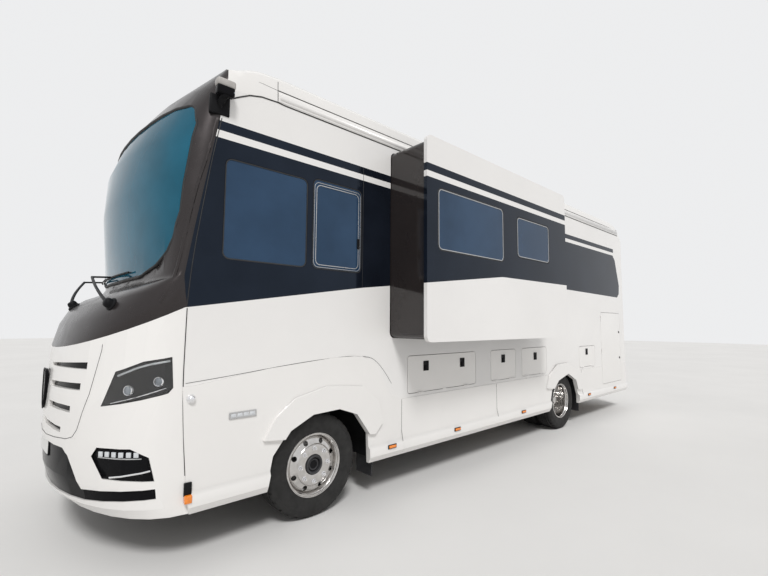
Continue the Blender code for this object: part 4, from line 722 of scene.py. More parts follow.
def leather_finish():
    """Seat leather: pebbled grain, soft creases and a worn sheen."""
    colour = (0.36, 0.315, 0.265)
    finish, shader = new_finish("seat_leather", colour, 0.5)
    pebbles = node(finish, "TexVoronoi", Scale=420.0)
    wire(finish, object_place(finish), pebbles.inputs["Vector"])
    mottled(finish, shader, colour, 6.0, 0.85, 1.12)
    uneven(finish, shader, 12.0, 0.42, 0.6)
    creases = bumped(finish, shader, noise(finish, 14.0, 5.0), 0.002, 0.5)
    bumped(finish, shader, pebbles.outputs["Distance"], 0.0006, 0.6, creases)
    return finish


# The plain finishes: colour or the name of a user's colour, roughness, metallic, coat, how much the colour
# varies, scale of patches and of grain, depth of the grain, how much the gloss varies, specular level.
PLAIN = {
    "room_side_gloss": ("room_side", 0.10, 0.0, 0.15, 0.12, 1.2, 300.0, 0.00004),
    "black_plastic": ((0.012, 0.012, 0.013), 0.42, 0.0, 0.0, 0.15, 9.0, 700.0, 0.0002, 0.15, 0.06),
    "black_gloss": ((0.007, 0.007, 0.008), 0.16, 0.0, 0.0, 0.15, 4.0, 500.0, 0.00003, 0.15, 0.05),
    "tyre_rubber": ((0.019, 0.0185, 0.018), 0.76, 0.0, 0.0, 0.24, 7.0, 420.0, 0.0005, 0.15, 0.35),
    "polished_alloy": ((0.60, 0.585, 0.57), 0.14, 1.0, 0.0, 0.10, 14.0, 900.0, 0.00002, 0.35),
    "chrome": ((0.86, 0.86, 0.87), 0.06, 1.0, 0.0, 0.03, 20.0, 900.0, 0.00001, 0.3),
    "satin_silver": ((0.55, 0.55, 0.55), 0.3, 0.9, 0.0, 0.05, 12.0, 800.0, 0.00005),
    "grey_case": ((0.42, 0.40, 0.38), 0.45, 0.0, 0.0, 0.1, 16.0, 700.0, 0.0002),
    "seal_rubber": ((0.020, 0.019, 0.019), 0.6, 0.0, 0.0, 0.1, 12.0, 500.0, 0.0002),
    "chassis_paint": ((0.030, 0.030, 0.033), 0.55, 0.0, 0.0, 0.25, 5.0, 160.0, 0.0008),
    "engine_iron": ((0.085, 0.080, 0.075), 0.6, 0.55, 0.0, 0.25, 8.0, 180.0, 0.001),
    "floor_board": ((0.24, 0.19, 0.145), 0.5, 0.0, 0.0, 0.18, 4.0, 120.0, 0.0005),
    "amber_lens": ("amber", 0.16, 0.0, 0.7, 0.10, 60.0, 220.0, 0.0006),
    "red_lens": ("red", 0.14, 0.0, 0.7, 0.15, 60.0, 260.0, 0.0005),
    "lamp_white": ((0.82, 0.83, 0.84), 0.25, 0.0, 0.5, 0.05, 50.0, 300.0, 0.0004),
    "projector_lens": ((0.30, 0.34, 0.38), 0.03, 0.0, 1.0, 0.06, 40.0, 300.0, 0.0001),
    "day_light": ((0.62, 0.64, 0.66), 0.22, 0.0, 0.8, 0.06, 50.0, 420.0, 0.0004),
    "plate_white": ((0.72, 0.72, 0.70), 0.35, 0.0, 0.2, 0.04, 10.0, 600.0, 0.0001),
}
FINISHES = {}


def make_finishes():
    """Every finish of the coach, once."""
    colours, stripes = bpy.context.scene.coach_colours, bpy.context.scene.coach_stripes
    made = [
        white_paint(colours), striped_paint(colours, stripes), graphite_paint(colours), leather_finish(),
        # The windscreen's and the windows' blue specular tints paint a blue sky reflection into the glass.
        glass_finish("windscreen_glass", colours.screen, 0.35, 0.03, (0.25, 0.60, 0.90), 0.15),
        glass_finish("window_glass", colours.glass, 0.25, 0.03, (0.45, 0.66, 1.0), 0.45),
        glass_finish("lamp_glass", (0.92, 0.94, 0.95), 1.0, 0.01, (1.0, 1.0, 1.0), 0.06),
    ]
    for name, (colour, *values) in PLAIN.items():
        if isinstance(colour, str):
            colour = tuple(getattr(colours, colour))
        made.append(plain_finish(name, colour, *values))
    FINISHES.update({finish.name.split(".")[0]: finish for finish in made})


# The stage. The camera is the one fitted to the photograph: place, angles in degrees, focal length in pixels.
CAMERA_PLACE = (2.07070535, 4.33191306, 1.65156204)
CAMERA_TURN, CAMERA_PITCH, CAMERA_ROLL = -132.32224955, 4.71181146, 0.44564734
FOCAL_PIXELS, PICTURE_PIXELS, SENSOR_WIDTH = 420.27948649, 768, 36.0
SUNLIGHT = (-0.34, -0.56, -0.76)


class COACH_OT_stage(bpy.types.Operator):
    """Camera at the photograph's place, pale floor, pale background and soft light"""

    bl_idname = "coach.stage"
    bl_label = "Stage"

    def execute(self, context):
        stage = context.scene.coach_stage
        clear_choice()
        turn, pitch, roll = (math.radians(angle) for angle in (CAMERA_TURN, CAMERA_PITCH, CAMERA_ROLL))
        ahead = Vector((math.cos(turn) * math.cos(pitch), math.sin(turn) * math.cos(pitch), math.sin(pitch)))
        right = ahead.cross(UP).normalized()
        above = right.cross(ahead)
        tilted_right = right * math.cos(roll) + above * math.sin(roll)
        tilted_up = above * math.cos(roll) - right * math.sin(roll)
        bpy.ops.object.camera_add()
        camera = context.object
        camera.name = "photo_camera"
        matrix = Matrix((tilted_right, tilted_up, -ahead)).transposed().to_4x4()
        matrix.translation = at(*CAMERA_PLACE)
        camera.matrix_world = matrix
        camera.data.sensor_width = SENSOR_WIDTH
        camera.data.lens = FOCAL_PIXELS / PICTURE_PIXELS * SENSOR_WIDTH
        camera.data.clip_end = 300.0
        context.scene.camera = camera

        clear_choice()
        bpy.ops.mesh.primitive_circle_add(vertices=96, radius=stage.floor / 2, fill_type="NGON",
                                          location=(ORIGIN.x - WHEELBASE / 2, ORIGIN.y, 0))
        floor = context.object
        floor.name = "pale_floor"
        settle(floor)
        pale = plain_finish("pale_floor", (0.74, 0.73, 0.715), 0.85, 0.0, 0.0, 0.02, 0.4, 60.0, 0.0004)
        floor.data.materials.append(pale)

        bpy.ops.object.light_add(type="SUN")
        sun = context.object
        sun.name = "key_light"
        sun.rotation_euler = Vector(SUNLIGHT).to_track_quat("-Z", "Y").to_euler()
        sun.data.energy = stage.sun
        sun.data.angle = math.radians(14)

        world = bpy.data.worlds.new("soft_light")
        context.scene.world = world
        world.use_nodes = True
        nodes, links = world.node_tree.nodes, world.node_tree.links
        nodes.clear()
        output, mix = nodes.new("ShaderNodeOutputWorld"), nodes.new("ShaderNodeMixShader")
        light, shown = nodes.new("ShaderNodeBackground"), nodes.new("ShaderNodeBackground")
        path, seen, both = (nodes.new("ShaderNode" + kind) for kind in ("LightPath", "Math", "Math"))
        light.inputs["Color"].default_value = (1, 1, 1, 1)
        light.inputs["Strength"].default_value = stage.fill
        shown.inputs["Color"].default_value = (0.985, 0.99, 1, 1)
        shown.inputs["Strength"].default_value = stage.backdrop
        seen.operation = both.operation = "MAXIMUM"
        for source, target in (
                (path.outputs["Is Camera Ray"], seen.inputs[0]),
                (path.outputs["Is Glossy Ray"], seen.inputs[1]),
                (seen.outputs[0], both.inputs[0]), (path.outputs["Is Transmission Ray"], both.inputs[1]),
                (both.outputs[0], mix.inputs["Fac"]), (light.outputs[0], mix.inputs[1]),
                (shown.outputs[0], mix.inputs[2]), (mix.outputs[0], output.inputs["Surface"])):
            links.new(source, target)
        context.scene.view_settings.view_transform = "Standard"
        return {"FINISHED"}


# Painted shells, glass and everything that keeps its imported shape.
PAINTED = ("front_mask", "front_panel", "front_wing_left", "front_wing_right", "side_skirt_left",
           "side_skirt_right", "roof", "rear_wall", "locker_door_long", "locker_door_mid",
           "locker_door_small", "locker_door_tail", "locker_door_right", "garage_door_left",
           "garage_door_right")
STRIPED = ("side_wall_left", "side_wall_right", "entry_door", "side_room_fascia")
GLAZED = ("window_cab_left", "window_sliding_left", "window_cab_right", "window_lounge_right", "window_entry",
          "room_window_front", "room_window_back")
CHASSIS = ("chassis_frame", "front_axle", "rear_axle", "knuckle_left", "knuckle_right", "fuel_tank")


# The roof's shoulders: the share of the full rise along the coach, and the rise and spread across it.
SHOULDER_RUN = [(-7.37, 0.0), (-7.31, 0.35), (-7.24, 0.70), (-7.08, 0.92), (-6.90, 1.0), (0.60, 1.0),
                (0.68, 0.88), (0.74, 0.60), (0.80, 0.28), (0.86, 0.0)]
SHOULDER_RISE = [(0.0, 0.028), (0.43, 0.029), (0.80, 0.036), (0.958, 0.042), (1.083, 0.055), (1.175, 0.060),
                 (1.231, 0.046)]
SHOULDER_SPREAD = [(0.80, 0.0), (0.958, 0.012), (1.083, 0.042), (1.175, 0.033), (1.231, 0.009)]
GUTTER_RUN = [(-7.37, 3.359), (-7.314, 3.414), (-7.24, 3.446), (-7.077, 3.47), (0.445, 3.47), (0.682, 3.449),
              (0.89, 3.411)]
SHOULDER_CUTS, SHOULDER_START = (0.80, 0.74, 0.60, -6.90), 0.045


def along(run, place):
    """The value at a place on a run of (place, value) corners."""
    if place <= run[0][0]:
        return run[0][1]
    for (start, low), (end, high) in zip(run, run[1:]):
        if place <= end:
            return low + (high - low) * (place - start) / (end - start)
    return run[-1][1]


def squarer_shoulders(piece):
    """The roof's upper corners filled out to the squarer ones of the real coach."""
    sliced(piece, [at(x, 0, 0) for x in SHOULDER_CUTS], (1, 0, 0))
    for vertex in piece.data.vertices:
        x, y, z = vertex.co - ORIGIN
        if z > along(GUTTER_RUN, x) + SHOULDER_START:
            share = along(SHOULDER_RUN, x)
            vertex.co.z += share * along(SHOULDER_RISE, abs(y))
            vertex.co.y += share * math.copysign(along(SHOULDER_SPREAD, abs(y)), y)


class COACH_OT_shells(bpy.types.Operator):
    """White and striped panels, the graphite surround, the side room and the glass"""

    bl_idname = "coach.shells"
    bl_label = "Painted shells"

    def execute(self, context):
        groups = ((PAINTED, "white_paint"), (STRIPED, "striped_paint"), (GLAZED, "window_glass"),
                  (("windscreen",), "windscreen_glass"), (("windscreen_surround",), "graphite_paint"),
                  (("side_room",), "room_side_gloss"), (("front_black_trim",), "black_gloss"))
        for nodes, finish in groups:
            for name in nodes:
                piece = dressed(name, 44 if finish == "graphite_paint" else 34,
                                shape=squarer_shoulders if name == "roof" else None)
                place(piece, body_of(name), finish, (name,))
        return {"FINISHED"}


LINER_RADIUS, LINER_INNER_Y, LINER_WIDTH = 0.625, 0.600, 0.615


def arch_liner(name, centre, side):
    """A dark curved sheet over a front wheel, well clear of the tyre at full lock."""
    turns = [math.radians(-6 + 192 * step / 18) for step in range(19)]
    piece = drawn_line(name, [at(centre.x + LINER_RADIUS * math.cos(turn), side * LINER_INNER_Y,
                                 centre.z + LINER_RADIUS * math.sin(turn)) for turn in turns])
    open_mesh(piece, "SELECT", "VERT")
    bpy.ops.mesh.extrude_region_move(TRANSFORM_OT_translate={"value": (0, side * LINER_WIDTH, 0)})
    close_mesh()
    return thickened(piece, 0.005)


class COACH_OT_underside(bpy.types.Operator):
    """Chassis, axles, engine, tank, floors and dashboard in their finishes, and the front arches' liners"""

    bl_idname = "coach.underside"
    bl_label = "Chassis and floors"

    def execute(self, context):
        groups = ((CHASSIS, "chassis_paint"), (("engine",), "engine_iron"),
                  (("cabin_floor", "locker_floor"), "floor_board"),
                  (("dashboard", "steering_wheel"), "black_plastic"))
        for nodes, finish in groups:
            for name in nodes:
                piece = dressed(name, 32)
                place(piece, body_of(name), finish, (name,))
        for side, word in SIDES:
            liner = arch_liner("arch_liner_" + word, wheel_centre("front", side), side)
            place(liner, "coach", "black_plastic")
        return {"FINISHED"}


# Wheels. Outlines are (radius, offset outwards from the wheel's middle).
TREAD = [(0.4205, 0.0035), (0.4325, 0.0050), (0.4330, 0.0270), (0.4205, 0.0290), (0.4205, 0.0370),
         (0.4330, 0.0390), (0.4325, 0.0700), (0.4200, 0.0720), (0.4200, 0.0790), (0.4318, 0.0810),
         (0.4305, 0.0930), (0.4270, 0.1030), (0.4180, 0.1120), (0.4080, 0.1180)]
TYRE_WALL = [(0.3980, 0.1220), (0.3860, 0.1255), (0.3835, 0.1240), (0.3790, 0.1262), (0.3600, 0.1288),
             (0.3400, 0.1285), (0.3150, 0.1240), (0.2960, 0.1180), (0.2800, 0.1135), (0.2770, 0.1145),
             (0.2720, 0.1130), (0.2600, 0.1090), (0.2525, 0.1040)]
FRONT_RIM = [(0.080, 0.098), (0.085, 0.1085), (0.092, 0.1105), (0.158, 0.1105), (0.166, 0.1085),
             (0.172, 0.1000), (0.182, 0.0940), (0.200, 0.0900), (0.216, 0.0830), (0.228, 0.0700),
             (0.2345, 0.0540), (0.2365, 0.0600), (0.2385, 0.0820), (0.2440, 0.0950), (0.2520, 0.1010),
             (0.2560, 0.1100), (0.2600, 0.1160), (0.2640, 0.1165), (0.2668, 0.1130), (0.2668, 0.1090),
             (0.2490, 0.1080), (0.2490, -0.1080), (0.2660, -0.1090), (0.2660, -0.1150), (0.2560, -0.1160),
             (0.2380, -0.0900), (0.2380, 0.0300), (0.2300, 0.0480), (0.2080, 0.0700), (0.1640, 0.0860),
             (0.0800, 0.0860)]
REAR_RIM = [(0.080, -0.142), (0.084, -0.1340), (0.158, -0.1315), (0.170, -0.1345), (0.190, -0.1300),
            (0.212, -0.1210), (0.228, -0.1050), (0.2345, -0.0850), (0.2365, -0.0600), (0.2375, 0.0600),
            (0.2400, 0.0840), (0.2460, 0.0960), (0.2530, 0.1020), (0.2565, 0.1110), (0.2600, 0.1160),
            (0.2640, 0.1165), (0.2668, 0.1130), (0.2668, 0.1090), (0.2490, 0.1080), (0.2490, -0.1080),
            (0.2380, -0.1150), (0.2300, -0.1300), (0.2080, -0.1450), (0.0800, -0.1490)]
INNER_RIM = [(0.2490, -0.1090), (0.2660, -0.1090), (0.2660, -0.1150), (0.2560, -0.1160), (0.2360, -0.0900),
             (0.2360, 0.0900), (0.2560, 0.1160), (0.2660, 0.1150), (0.2660, 0.1090), (0.2490, 0.1090)]
FRONT_HUB = [(0.0, 0.1010), (0.034, 0.1010), (0.040, 0.1040), (0.046, 0.1040), (0.050, 0.0990),
             (0.058, 0.0990), (0.062, 0.1190), (0.066, 0.1225), (0.074, 0.1225), (0.079, 0.1180),
             (0.0805, 0.0950), (0.0, 0.0930)]
REAR_HUB = [(0.0, 0.0260), (0.040, 0.0255), (0.052, 0.0210), (0.0560, 0.0100), (0.0580, -0.0300),
            (0.0640, -0.0360), (0.0680, -0.0480), (0.0690, -0.1150), (0.0760, -0.1250), (0.0800, -0.1400),
            (0.0, -0.1400)]


HUB_WELL = [(0.0, 0.1045), (0.026, 0.104), (0.033, 0.1020), (0.057, 0.1010), (0.057, 0.0990), (0.0, 0.0990)]
NUT = [(0.0, 0.034), (0.008, 0.034), (0.0095, 0.031), (0.0095, 0.021), (0.0145, 0.021), (0.0165, 0.018),
       (0.0165, 0.006), (0.022, 0.004), (0.023, 0.0), (0.0, 0.0)]
FRONT_NUT_FACE, REAR_NUT_FACE = 0.1105, -0.1325
HAND_HOLES, HOLE_CIRCLE, HOLE_RADIUS = 8, 0.199, 0.022
TYRE_STEPS, RIM_STEPS = 120, 96


def wheel_centre(axle, side, inner=False):
    """The middle of a wheel's tyre."""
    low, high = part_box(("inner_tyre_" if inner else "tyre_") + axle + ("_left" if side > 0 else "_right"))
    return (low + high) / 2 - ORIGIN


def new_tyre(name, centre, side, lugs):
    """A tyre with ribs, grooves and wall rings, turned, with slots pressed into its shoulders."""
    half = TREAD + TYRE_WALL
    outline = half + [(radius, -offset) for radius, offset in reversed(half)]
    piece = turned(name, outline, centre, (0, side, 0), TYRE_STEPS, True, 30)
    middle = at(*centre)
    open_mesh(piece)

    def shoulder_slot(face):
        spot = face.calc_center_median() - middle
        radius, turn = math.hypot(spot.x, spot.z), math.atan2(spot.x, spot.z)
        step = math.floor((turn / math.tau + 0.5) * TYRE_STEPS)
        return 0.417 < radius < 0.4316 and abs(spot.y) > 0.083 and step % lugs == 0

    pick(piece, shoulder_slot)
    bpy.ops.mesh.extrude_region_shrink_fatten(TRANSFORM_OT_shrink_fatten={"value": -0.007})
    close_mesh()
    return smooth(piece, 30)


def rim_with_holes(name, outline, centre, side):
    """A turned rim with its hand holes drilled through the dish."""
    piece = turned(name, outline, centre, (0, side, 0), RIM_STEPS, True, 34)
    drills = []
    for step in range(HAND_HOLES):
        turn = math.tau * (step + 0.5) / HAND_HOLES
        x, z = centre.x + HOLE_CIRCLE * math.cos(turn), centre.z + HOLE_CIRCLE * math.sin(turn)
        drills.append(rod("drill", (x, centre.y - 0.5, z), (x, centre.y + 0.5, z), HOLE_RADIUS, sides=28))
    drill = joined("drill", drills)
    modify(piece, "BOOLEAN", object=drill, operation="DIFFERENCE", solver="EXACT")
    bpy.data.objects.remove(drill)
    return smooth(piece, 34)


def wheel_nuts(name, centre, side, face, trim):
    """Flanged nuts with their stud ends, one made and then copied round."""
    nut = turned("nut", NUT, -ORIGIN, UP, 6, False, 20)
    nuts = []
    for step in range(trim.nuts):
        turn = math.tau * step / trim.nuts
        across, up = trim.nut_circle * math.cos(turn), trim.nut_circle * math.sin(turn)
        spot = centre + Vector((across, side * face, up))
        nuts.append(set_on(copied(nut, "nut"), spot, Vector((0, side, 0))))
    bpy.data.objects.remove(nut)
    return joined(name, nuts)


class COACH_OT_wheels(bpy.types.Operator):
    """Tyres with ribs and slotted shoulders, polished rims with hand holes, nuts and hubs"""

    bl_idname = "coach.wheels"
    bl_label = "Wheels"

    def execute(self, context):
        trim = context.scene.coach_trim
        for side, word in SIDES:
            for axle in ("front", "rear"):
                body = f"wheel_{axle}_{word}"
                centre = wheel_centre(axle, side)
                tyre = new_tyre(f"ribbed_tyre_{axle}_{word}", centre, side, 3 if axle == "rear" else 4)
                place(tyre, body, "tyre_rubber", (f"tyre_{axle}_{word}",))
                outline, hub_line, face = ((FRONT_RIM, FRONT_HUB, FRONT_NUT_FACE) if axle == "front"
                                           else (REAR_RIM, REAR_HUB, REAR_NUT_FACE))
                rim = rim_with_holes(f"polished_rim_{axle}_{word}", outline, centre, side)
                place(rim, body, "polished_alloy", (f"wheel_{axle}_{word}",))
                nuts = wheel_nuts(f"nuts_{axle}_{word}", centre, side, face, trim)
                place(nuts, body, "chrome")
                hub = turned(f"hub_{axle}_{word}", hub_line, centre, (0, side, 0), 48, False, 34)
                hub_finish = "chassis_paint" if axle == "front" else "polished_alloy"
                place(hub, body, hub_finish, slot="polished_alloy")
                if axle == "front":
                    well = turned(f"hub_well_{word}", HUB_WELL, centre, (0, side, 0), 32)
                    place(well, body, "black_plastic")
                else:
                    inner = wheel_centre(axle, side, True)
                    twin = new_tyre(f"ribbed_inner_tyre_{word}", inner, side, 3)
                    place(twin, body, "tyre_rubber", (f"inner_tyre_rear_{word}",))
                    drum = turned(f"inner_rim_{word}", INNER_RIM, inner, (0, side, 0), 64, True, 34)
                    place(drum, body, "satin_silver")
        return {"FINISHED"}


def side_run(tree, places, side=1, lift=0.0):
    """Places on a side of the coach, each resting on its surface, from (x, z) places."""
    return [on_side(tree, x, z, side, lift)[0] for x, z in places]


def front_run(tree, places, lift=0.0):
    """Places on the front, each resting on its surface, from (y, z) places."""
    return [on_front(tree, y, z, lift)[0] for y, z in places]


def both_sides(places):
    """A run down the left half of the front and back up the right half."""
    return list(places) + [(-y, z) for y, z in reversed(places) if y]


def spaced(start, end, steps):
    """Even places from one corner to another, both ends among them."""
    return [tuple(a + (b - a) * step / steps for a, b in zip(start, end)) for step in range(steps + 1)]


def close_run(places, gap=0.05):
    """The same run with more places, none of them further apart than the gap."""
    run = [places[0]]
    for start, end in zip(places, places[1:]):
        run += spaced(start, end, math.ceil(math.dist(start, end) / gap))[1:]
    return run


def outer_edge(node_name, inside, gap=0.03):
    """The run of places round the outer face of a pane, seen from a place inside the coach."""
    mesh = bmesh.new()
    mesh.from_mesh(frame["nodes"][node_name].data)
    bmesh.ops.remove_doubles(mesh, verts=mesh.verts, dist=0.0001)
    outer = {face for face in mesh.faces
             if face.normal.dot((face.calc_center_median() - inside).normalized()) > 0.5}
    ends = {}
    for edge in mesh.edges:
        if len([face for face in edge.link_faces if face in outer]) == 1:
            for corner, other in zip(edge.verts, reversed(edge.verts)):
                ends.setdefault(corner, []).append(other)
    corner, last, run = next(iter(ends)), None, []
    while corner is not None and (not run or corner is not run[0]):
        run.append(corner)
        following = [other for other in ends[corner] if other is not last]
        corner, last = following[0], corner
    places = [run[0].co - ORIGIN]
    for corner in run[1:]:
        if (corner.co - ORIGIN - places[-1]).length > gap:
            places.append(corner.co - ORIGIN)
    mesh.free()
    return places


# Lamps. Runs are (x, z) on a side.
LAMP_FACE = 0.55
PROJECTORS = ((1.418, 1.190, 0.036), (1.262, 1.246, 0.034))
RING = [(0.78, 0.004), (0.80, 0.013), (0.90, 0.014), (1, 0.010), (1.04, 0.0), (0.78, 0.0)]
DOME = [(0.0, 0.012), (0.35, 0.0112), (0.6, 0.0085), (0.78, 0.004), (0.78, 0.0), (0.0, 0.0)]
DAY_LIGHT = [(1.470, 1.283), (1.430, 1.308), (1.385, 1.334), (1.345, 1.351), (1.300, 1.363), (1.250, 1.373),
             (1.200, 1.381)]
LAMP_EDGE = [(1.500, 1.100), (1.440, 1.122), (1.370, 1.146), (1.300, 1.172), (1.215, 1.200)]
FOG_LIGHTS = [(1.519, 0.770), (1.490, 0.771), (1.459, 0.771), (1.427, 0.772), (1.389, 0.772), (1.352, 0.772)]
FOG_EDGE = [(1.530, 0.746), (1.490, 0.745), (1.450, 0.745), (1.400, 0.745), (1.350, 0.745), (1.325, 0.746)]
FOG_STRIP = [(1.472, 0.622), (1.420, 0.634), (1.370, 0.645), (1.320, 0.656), (1.275, 0.666)]
LAMP_BEADS = (("day_light_", DAY_LIGHT, -0.008, 0.015, True, "day_light"),
              ("lamp_edge_", LAMP_EDGE, -0.010, 0.008, True, "chrome"))
FOG_BEADS = (("fog_row_edge_", FOG_EDGE, 0.001, 0.009, False, "satin_silver"),
             ("fog_strip_", FOG_STRIP, 0.004, 0.012, False, "chrome"))
MARKERS = [(-0.830, 0.452), (-1.854, 0.452), (-3.316, 0.452), (-5.504, 0.452), (-6.689, 0.452)]
REPEATER = [(0.0, 0.030), (0.010, 0.0285), (0.020, 0.023), (0.027, 0.014), (0.031, 0.005), (0.033, 0.0),
            (0.0, 0.0)]


def lamp_parts(word, side):
    """One headlamp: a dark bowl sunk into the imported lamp's own outer face, and its clear cover."""
    source = "headlamp_" + word
    bowl = dressed(source, 30, "headlamp_bowl_" + word)
    outwards = Vector((0.72, side * 0.69, 0)).normalized()
    stepped(bowl, outwards, LAMP_FACE, 0.008, -0.017)
    cover = dressed(source, 30, "headlamp_cover_" + word)
    open_mesh(cover)
    pick(cover, lambda face: face.normal.dot(outwards) <= LAMP_FACE)
    bpy.ops.mesh.delete(type="FACE")
    close_mesh()
    thickened(cover, 0.002, 1.0)
    return bowl, cover


def lamp_beads(rows, surface, word, side):
    """The light bars and bright edges of the lamps, laid on a surface."""
    for name, run, lift, thickness, smooth_run, finish in rows:
        line = bead(name + word, side_run(surface, run, side, lift), thickness, smooth_run)
        place(line, "coach", finish, slot="lamp_glass")


class COACH_OT_headlamps(bpy.types.Operator):
    """Headlamps with bowls, projector lenses, light bars and clear covers"""

    bl_idname = "coach.headlamps"
    bl_label = "Headlamps"

    def execute(self, context):
        for side, word in SIDES:
            tree = shell_tree("headlamp_" + word)
            bowl, cover = lamp_parts(word, side)
            place(bowl, "coach", "black_gloss", ("headlamp_" + word,), "lamp_glass")
            place(cover, "coach", "lamp_glass")
            rings, domes = [], []
            for x, z, radius in PROJECTORS:
                spot, facing = on_side(tree, x, z, side, -0.016)
                facing = (facing + Vector((0.35, 0, 0))).normalized()
                ring = small_turned("ring", [(radius * share, rise) for share, rise in RING], 36, True)
                dome = small_turned("dome", [(radius * share, rise) for share, rise in DOME], 36)
                rings.append(set_on(ring, spot, facing))
                domes.append(set_on(dome, spot, facing))
            place(joined("projector_rings_" + word, rings), "coach", "chrome", slot="lamp_glass")
            place(joined("projector_lenses_" + word, domes), "coach", "projector_lens")

            lamp_beads(LAMP_BEADS, tree, word, side)
            trim = shell_tree("front_black_trim")
            lights = [set_on(small_block("light", 0.032, 0.034, 0.009, 0.003), *on_side(trim, x, z, side))
                      for x, z in FOG_LIGHTS]
            place(joined("fog_light_row_" + word, lights), "coach", "day_light")
            lamp_beads(FOG_BEADS, trim, word, side)
        return {"FINISHED"}


class COACH_OT_side_lamps(bpy.types.Operator):
    """Amber markers, oval side lamps, repeaters and bracket lamps on both sides"""

    bl_idname = "coach.side_lamps"
    bl_label = "Side lamps"

    def execute(self, context):
        for side, word in SIDES:
            skirt = shell_tree("side_skirt_" + word, "front_wing_" + word, "front_mask", "side_wall_" + word)
            bases, lenses = [], []
            for x, z in MARKERS:
                spot, facing = on_side(skirt, x, z, side)
                bases.append(set_on(small_block("base", 0.112, 0.040, 0.008, 0.0035), spot, facing))
                lenses.append(set_on(small_block("lens", 0.092, 0.026, 0.017, 0.006), spot, facing))
            place(joined("marker_bases_" + word, bases), "coach", "black_plastic")
            place(joined("marker_lenses_" + word, lenses), "coach", "amber_lens")

            spot, facing = on_side(skirt, 0.686, 0.962, side)
            case = set_on(small_block("side_lamp_case_" + word, 0.214, 0.050, 0.010, 0.0048), spot, facing)
            place(dished(case, facing, 0.006, -0.004, 0.004), "coach", "satin_silver", slot="lamp_glass")
            cells = [set_on(small_block("cell", 0.040, 0.026, 0.009, 0.004),
                            spot + Vector((shift, 0, 0)), facing) for shift in (-0.072, -0.024, 0.024, 0.072)]
            place(joined("side_lamp_cells_" + word, cells), "coach", "day_light")

            spot, facing = on_side(skirt, 1.062, 1.117, side)
            place(set_on(small_turned("repeater_" + word, REPEATER, 32), spot, facing), "coach", "chrome")

            spot, facing = on_side(skirt, 1.060, 0.515, side)
            bracket = block("bracket_" + word, (1.035, spot.y - side * 0.004, 0.470),
                            (1.085, spot.y + side * 0.016, 0.560), 0.004)
            place(bracket, "coach", "black_plastic")
            lamp = block("bracket_lamp_" + word, (1.036, spot.y, 0.428),
                         (1.084, spot.y + side * 0.036, 0.482), 0.006)
            place(lamp, "coach", "amber_lens")
        return {"FINISHED"}


# Windows. The sliding pane's rails lie on the wall between these places.
WALL_Y = 1.246
SLIDING_BACK, SLIDING_FRONT, SLIDING_FOOT, SLIDING_TOP = -0.439, 0.110, 2.115, 2.900
PANE_CORNER = 0.058


class COACH_OT_windows(bpy.types.Operator):
    """Rubber seals round every pane, silver frames, the sliding pane's rails and its catch"""

    bl_idname = "coach.windows"
    bl_label = "Window frames"

    def execute(self, context):
        trim = context.scene.coach_trim
        for name in GLAZED:
            low, high = (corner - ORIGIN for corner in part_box(name))
            side = 1 if low.y > 0 else -1
            face = max(abs(low.y), abs(high.y)) * side
            lap = 0.004
            seal = rounded_frame("seal_" + name, (low.x - lap, low.z - lap), (high.x + lap, high.z + lap),
                                 face + side * 0.001, PANE_CORNER, trim.frame_width / 2, 0.003, 0.001)
            place(seal, body_of(name), "seal_rubber")
            if name not in ("window_cab_left", "window_sliding_left"):
                inset = 0.010
                silver = rounded_frame("frame_" + name, (low.x + inset, low.z + inset),
                                       (high.x - inset, high.z - inset), face + side * 0.002, 0.050, 0.008,
                                       trim.frame_proud / 2, 0.001)
                place(silver, body_of(name), "satin_silver")
        for side, word in SIDES:
            face = side * WALL_Y
            for step, (inset, width) in enumerate(((0.014, 0.005), (0.034, 0.007))):
                low = (SLIDING_BACK + inset, SLIDING_FOOT + inset)
                high = (SLIDING_FRONT - inset, SLIDING_TOP - inset)
                rail = rounded_frame(f"sliding_rail_{word}_{step}", low, high, face + side * 0.002, 0.048,
                                     width, trim.frame_proud / 2, 0.001)
                place(rail, "coach", "satin_silver")
            catch = block("sliding_catch_" + word, (-0.414, face - side * 0.002, 2.345),
                          (-0.386, face + side * 0.014, 2.440), 0.005)
            place(dished(catch, (0, side, 0), 0.004, -0.004, 0.001), "coach", "black_plastic")
        return {"FINISHED"}


# Seams and rails. Runs are (x, z) on the sides and (y, z) on the front.
MASK_SEAM = [(1.113, 1.742), (1.116, 1.500), (1.118, 1.214), (1.100, 0.867), (1.078, 0.607)]
WING_SEAM = [(1.100, 1.224), (0.780, 1.252), (0.457, 1.289), (0.100, 1.322), (-0.233, 1.343),
             (-0.420, 1.338), (-0.579, 1.321), (-0.672, 1.255), (-0.739, 1.187), (-0.800, 1.110),
             (-0.846, 1.050)]
PILLAR_EDGE = [(0.927, 3.177), (0.976, 2.915), (1.021, 2.602), (1.064, 2.300), (1.092, 2.067),
               (1.108, 1.868), (1.114, 1.765)]
PILLAR_RIDGE = [(0.955, 3.170), (0.993, 2.987), (1.028, 2.826), (1.070, 2.667), (1.112, 2.454),
                (1.145, 2.240), (1.172, 2.091), (1.198, 1.960), (1.236, 1.860), (1.275, 1.776)]
# The curved front run from the pillar: a dark joint bead that is also painted shadow under the roof cap.
GUTTER_AND_SHADOW_SEAM = [(0.865, 3.350), (0.795, 3.392), (0.715, 3.435), (0.614, 3.461), (0.544, 3.464),
               (0.477, 3.468)]
PANEL_SEAM = [(0.916, 1.490), (0.916, 1.452), (0.850, 1.150), (0.748, 0.905), (0.700, 0.852), (0.625, 0.829),
              (0.428, 0.812), (0.214, 0.797), (0.0, 0.794)]
ROOF_BACK_X, ROOF_FRONT_X = -7.20, 0.468
SKIRT_SEAMS_X = (-0.984, -2.700, -5.270)
SCREEN_JOINT_X = 0.472


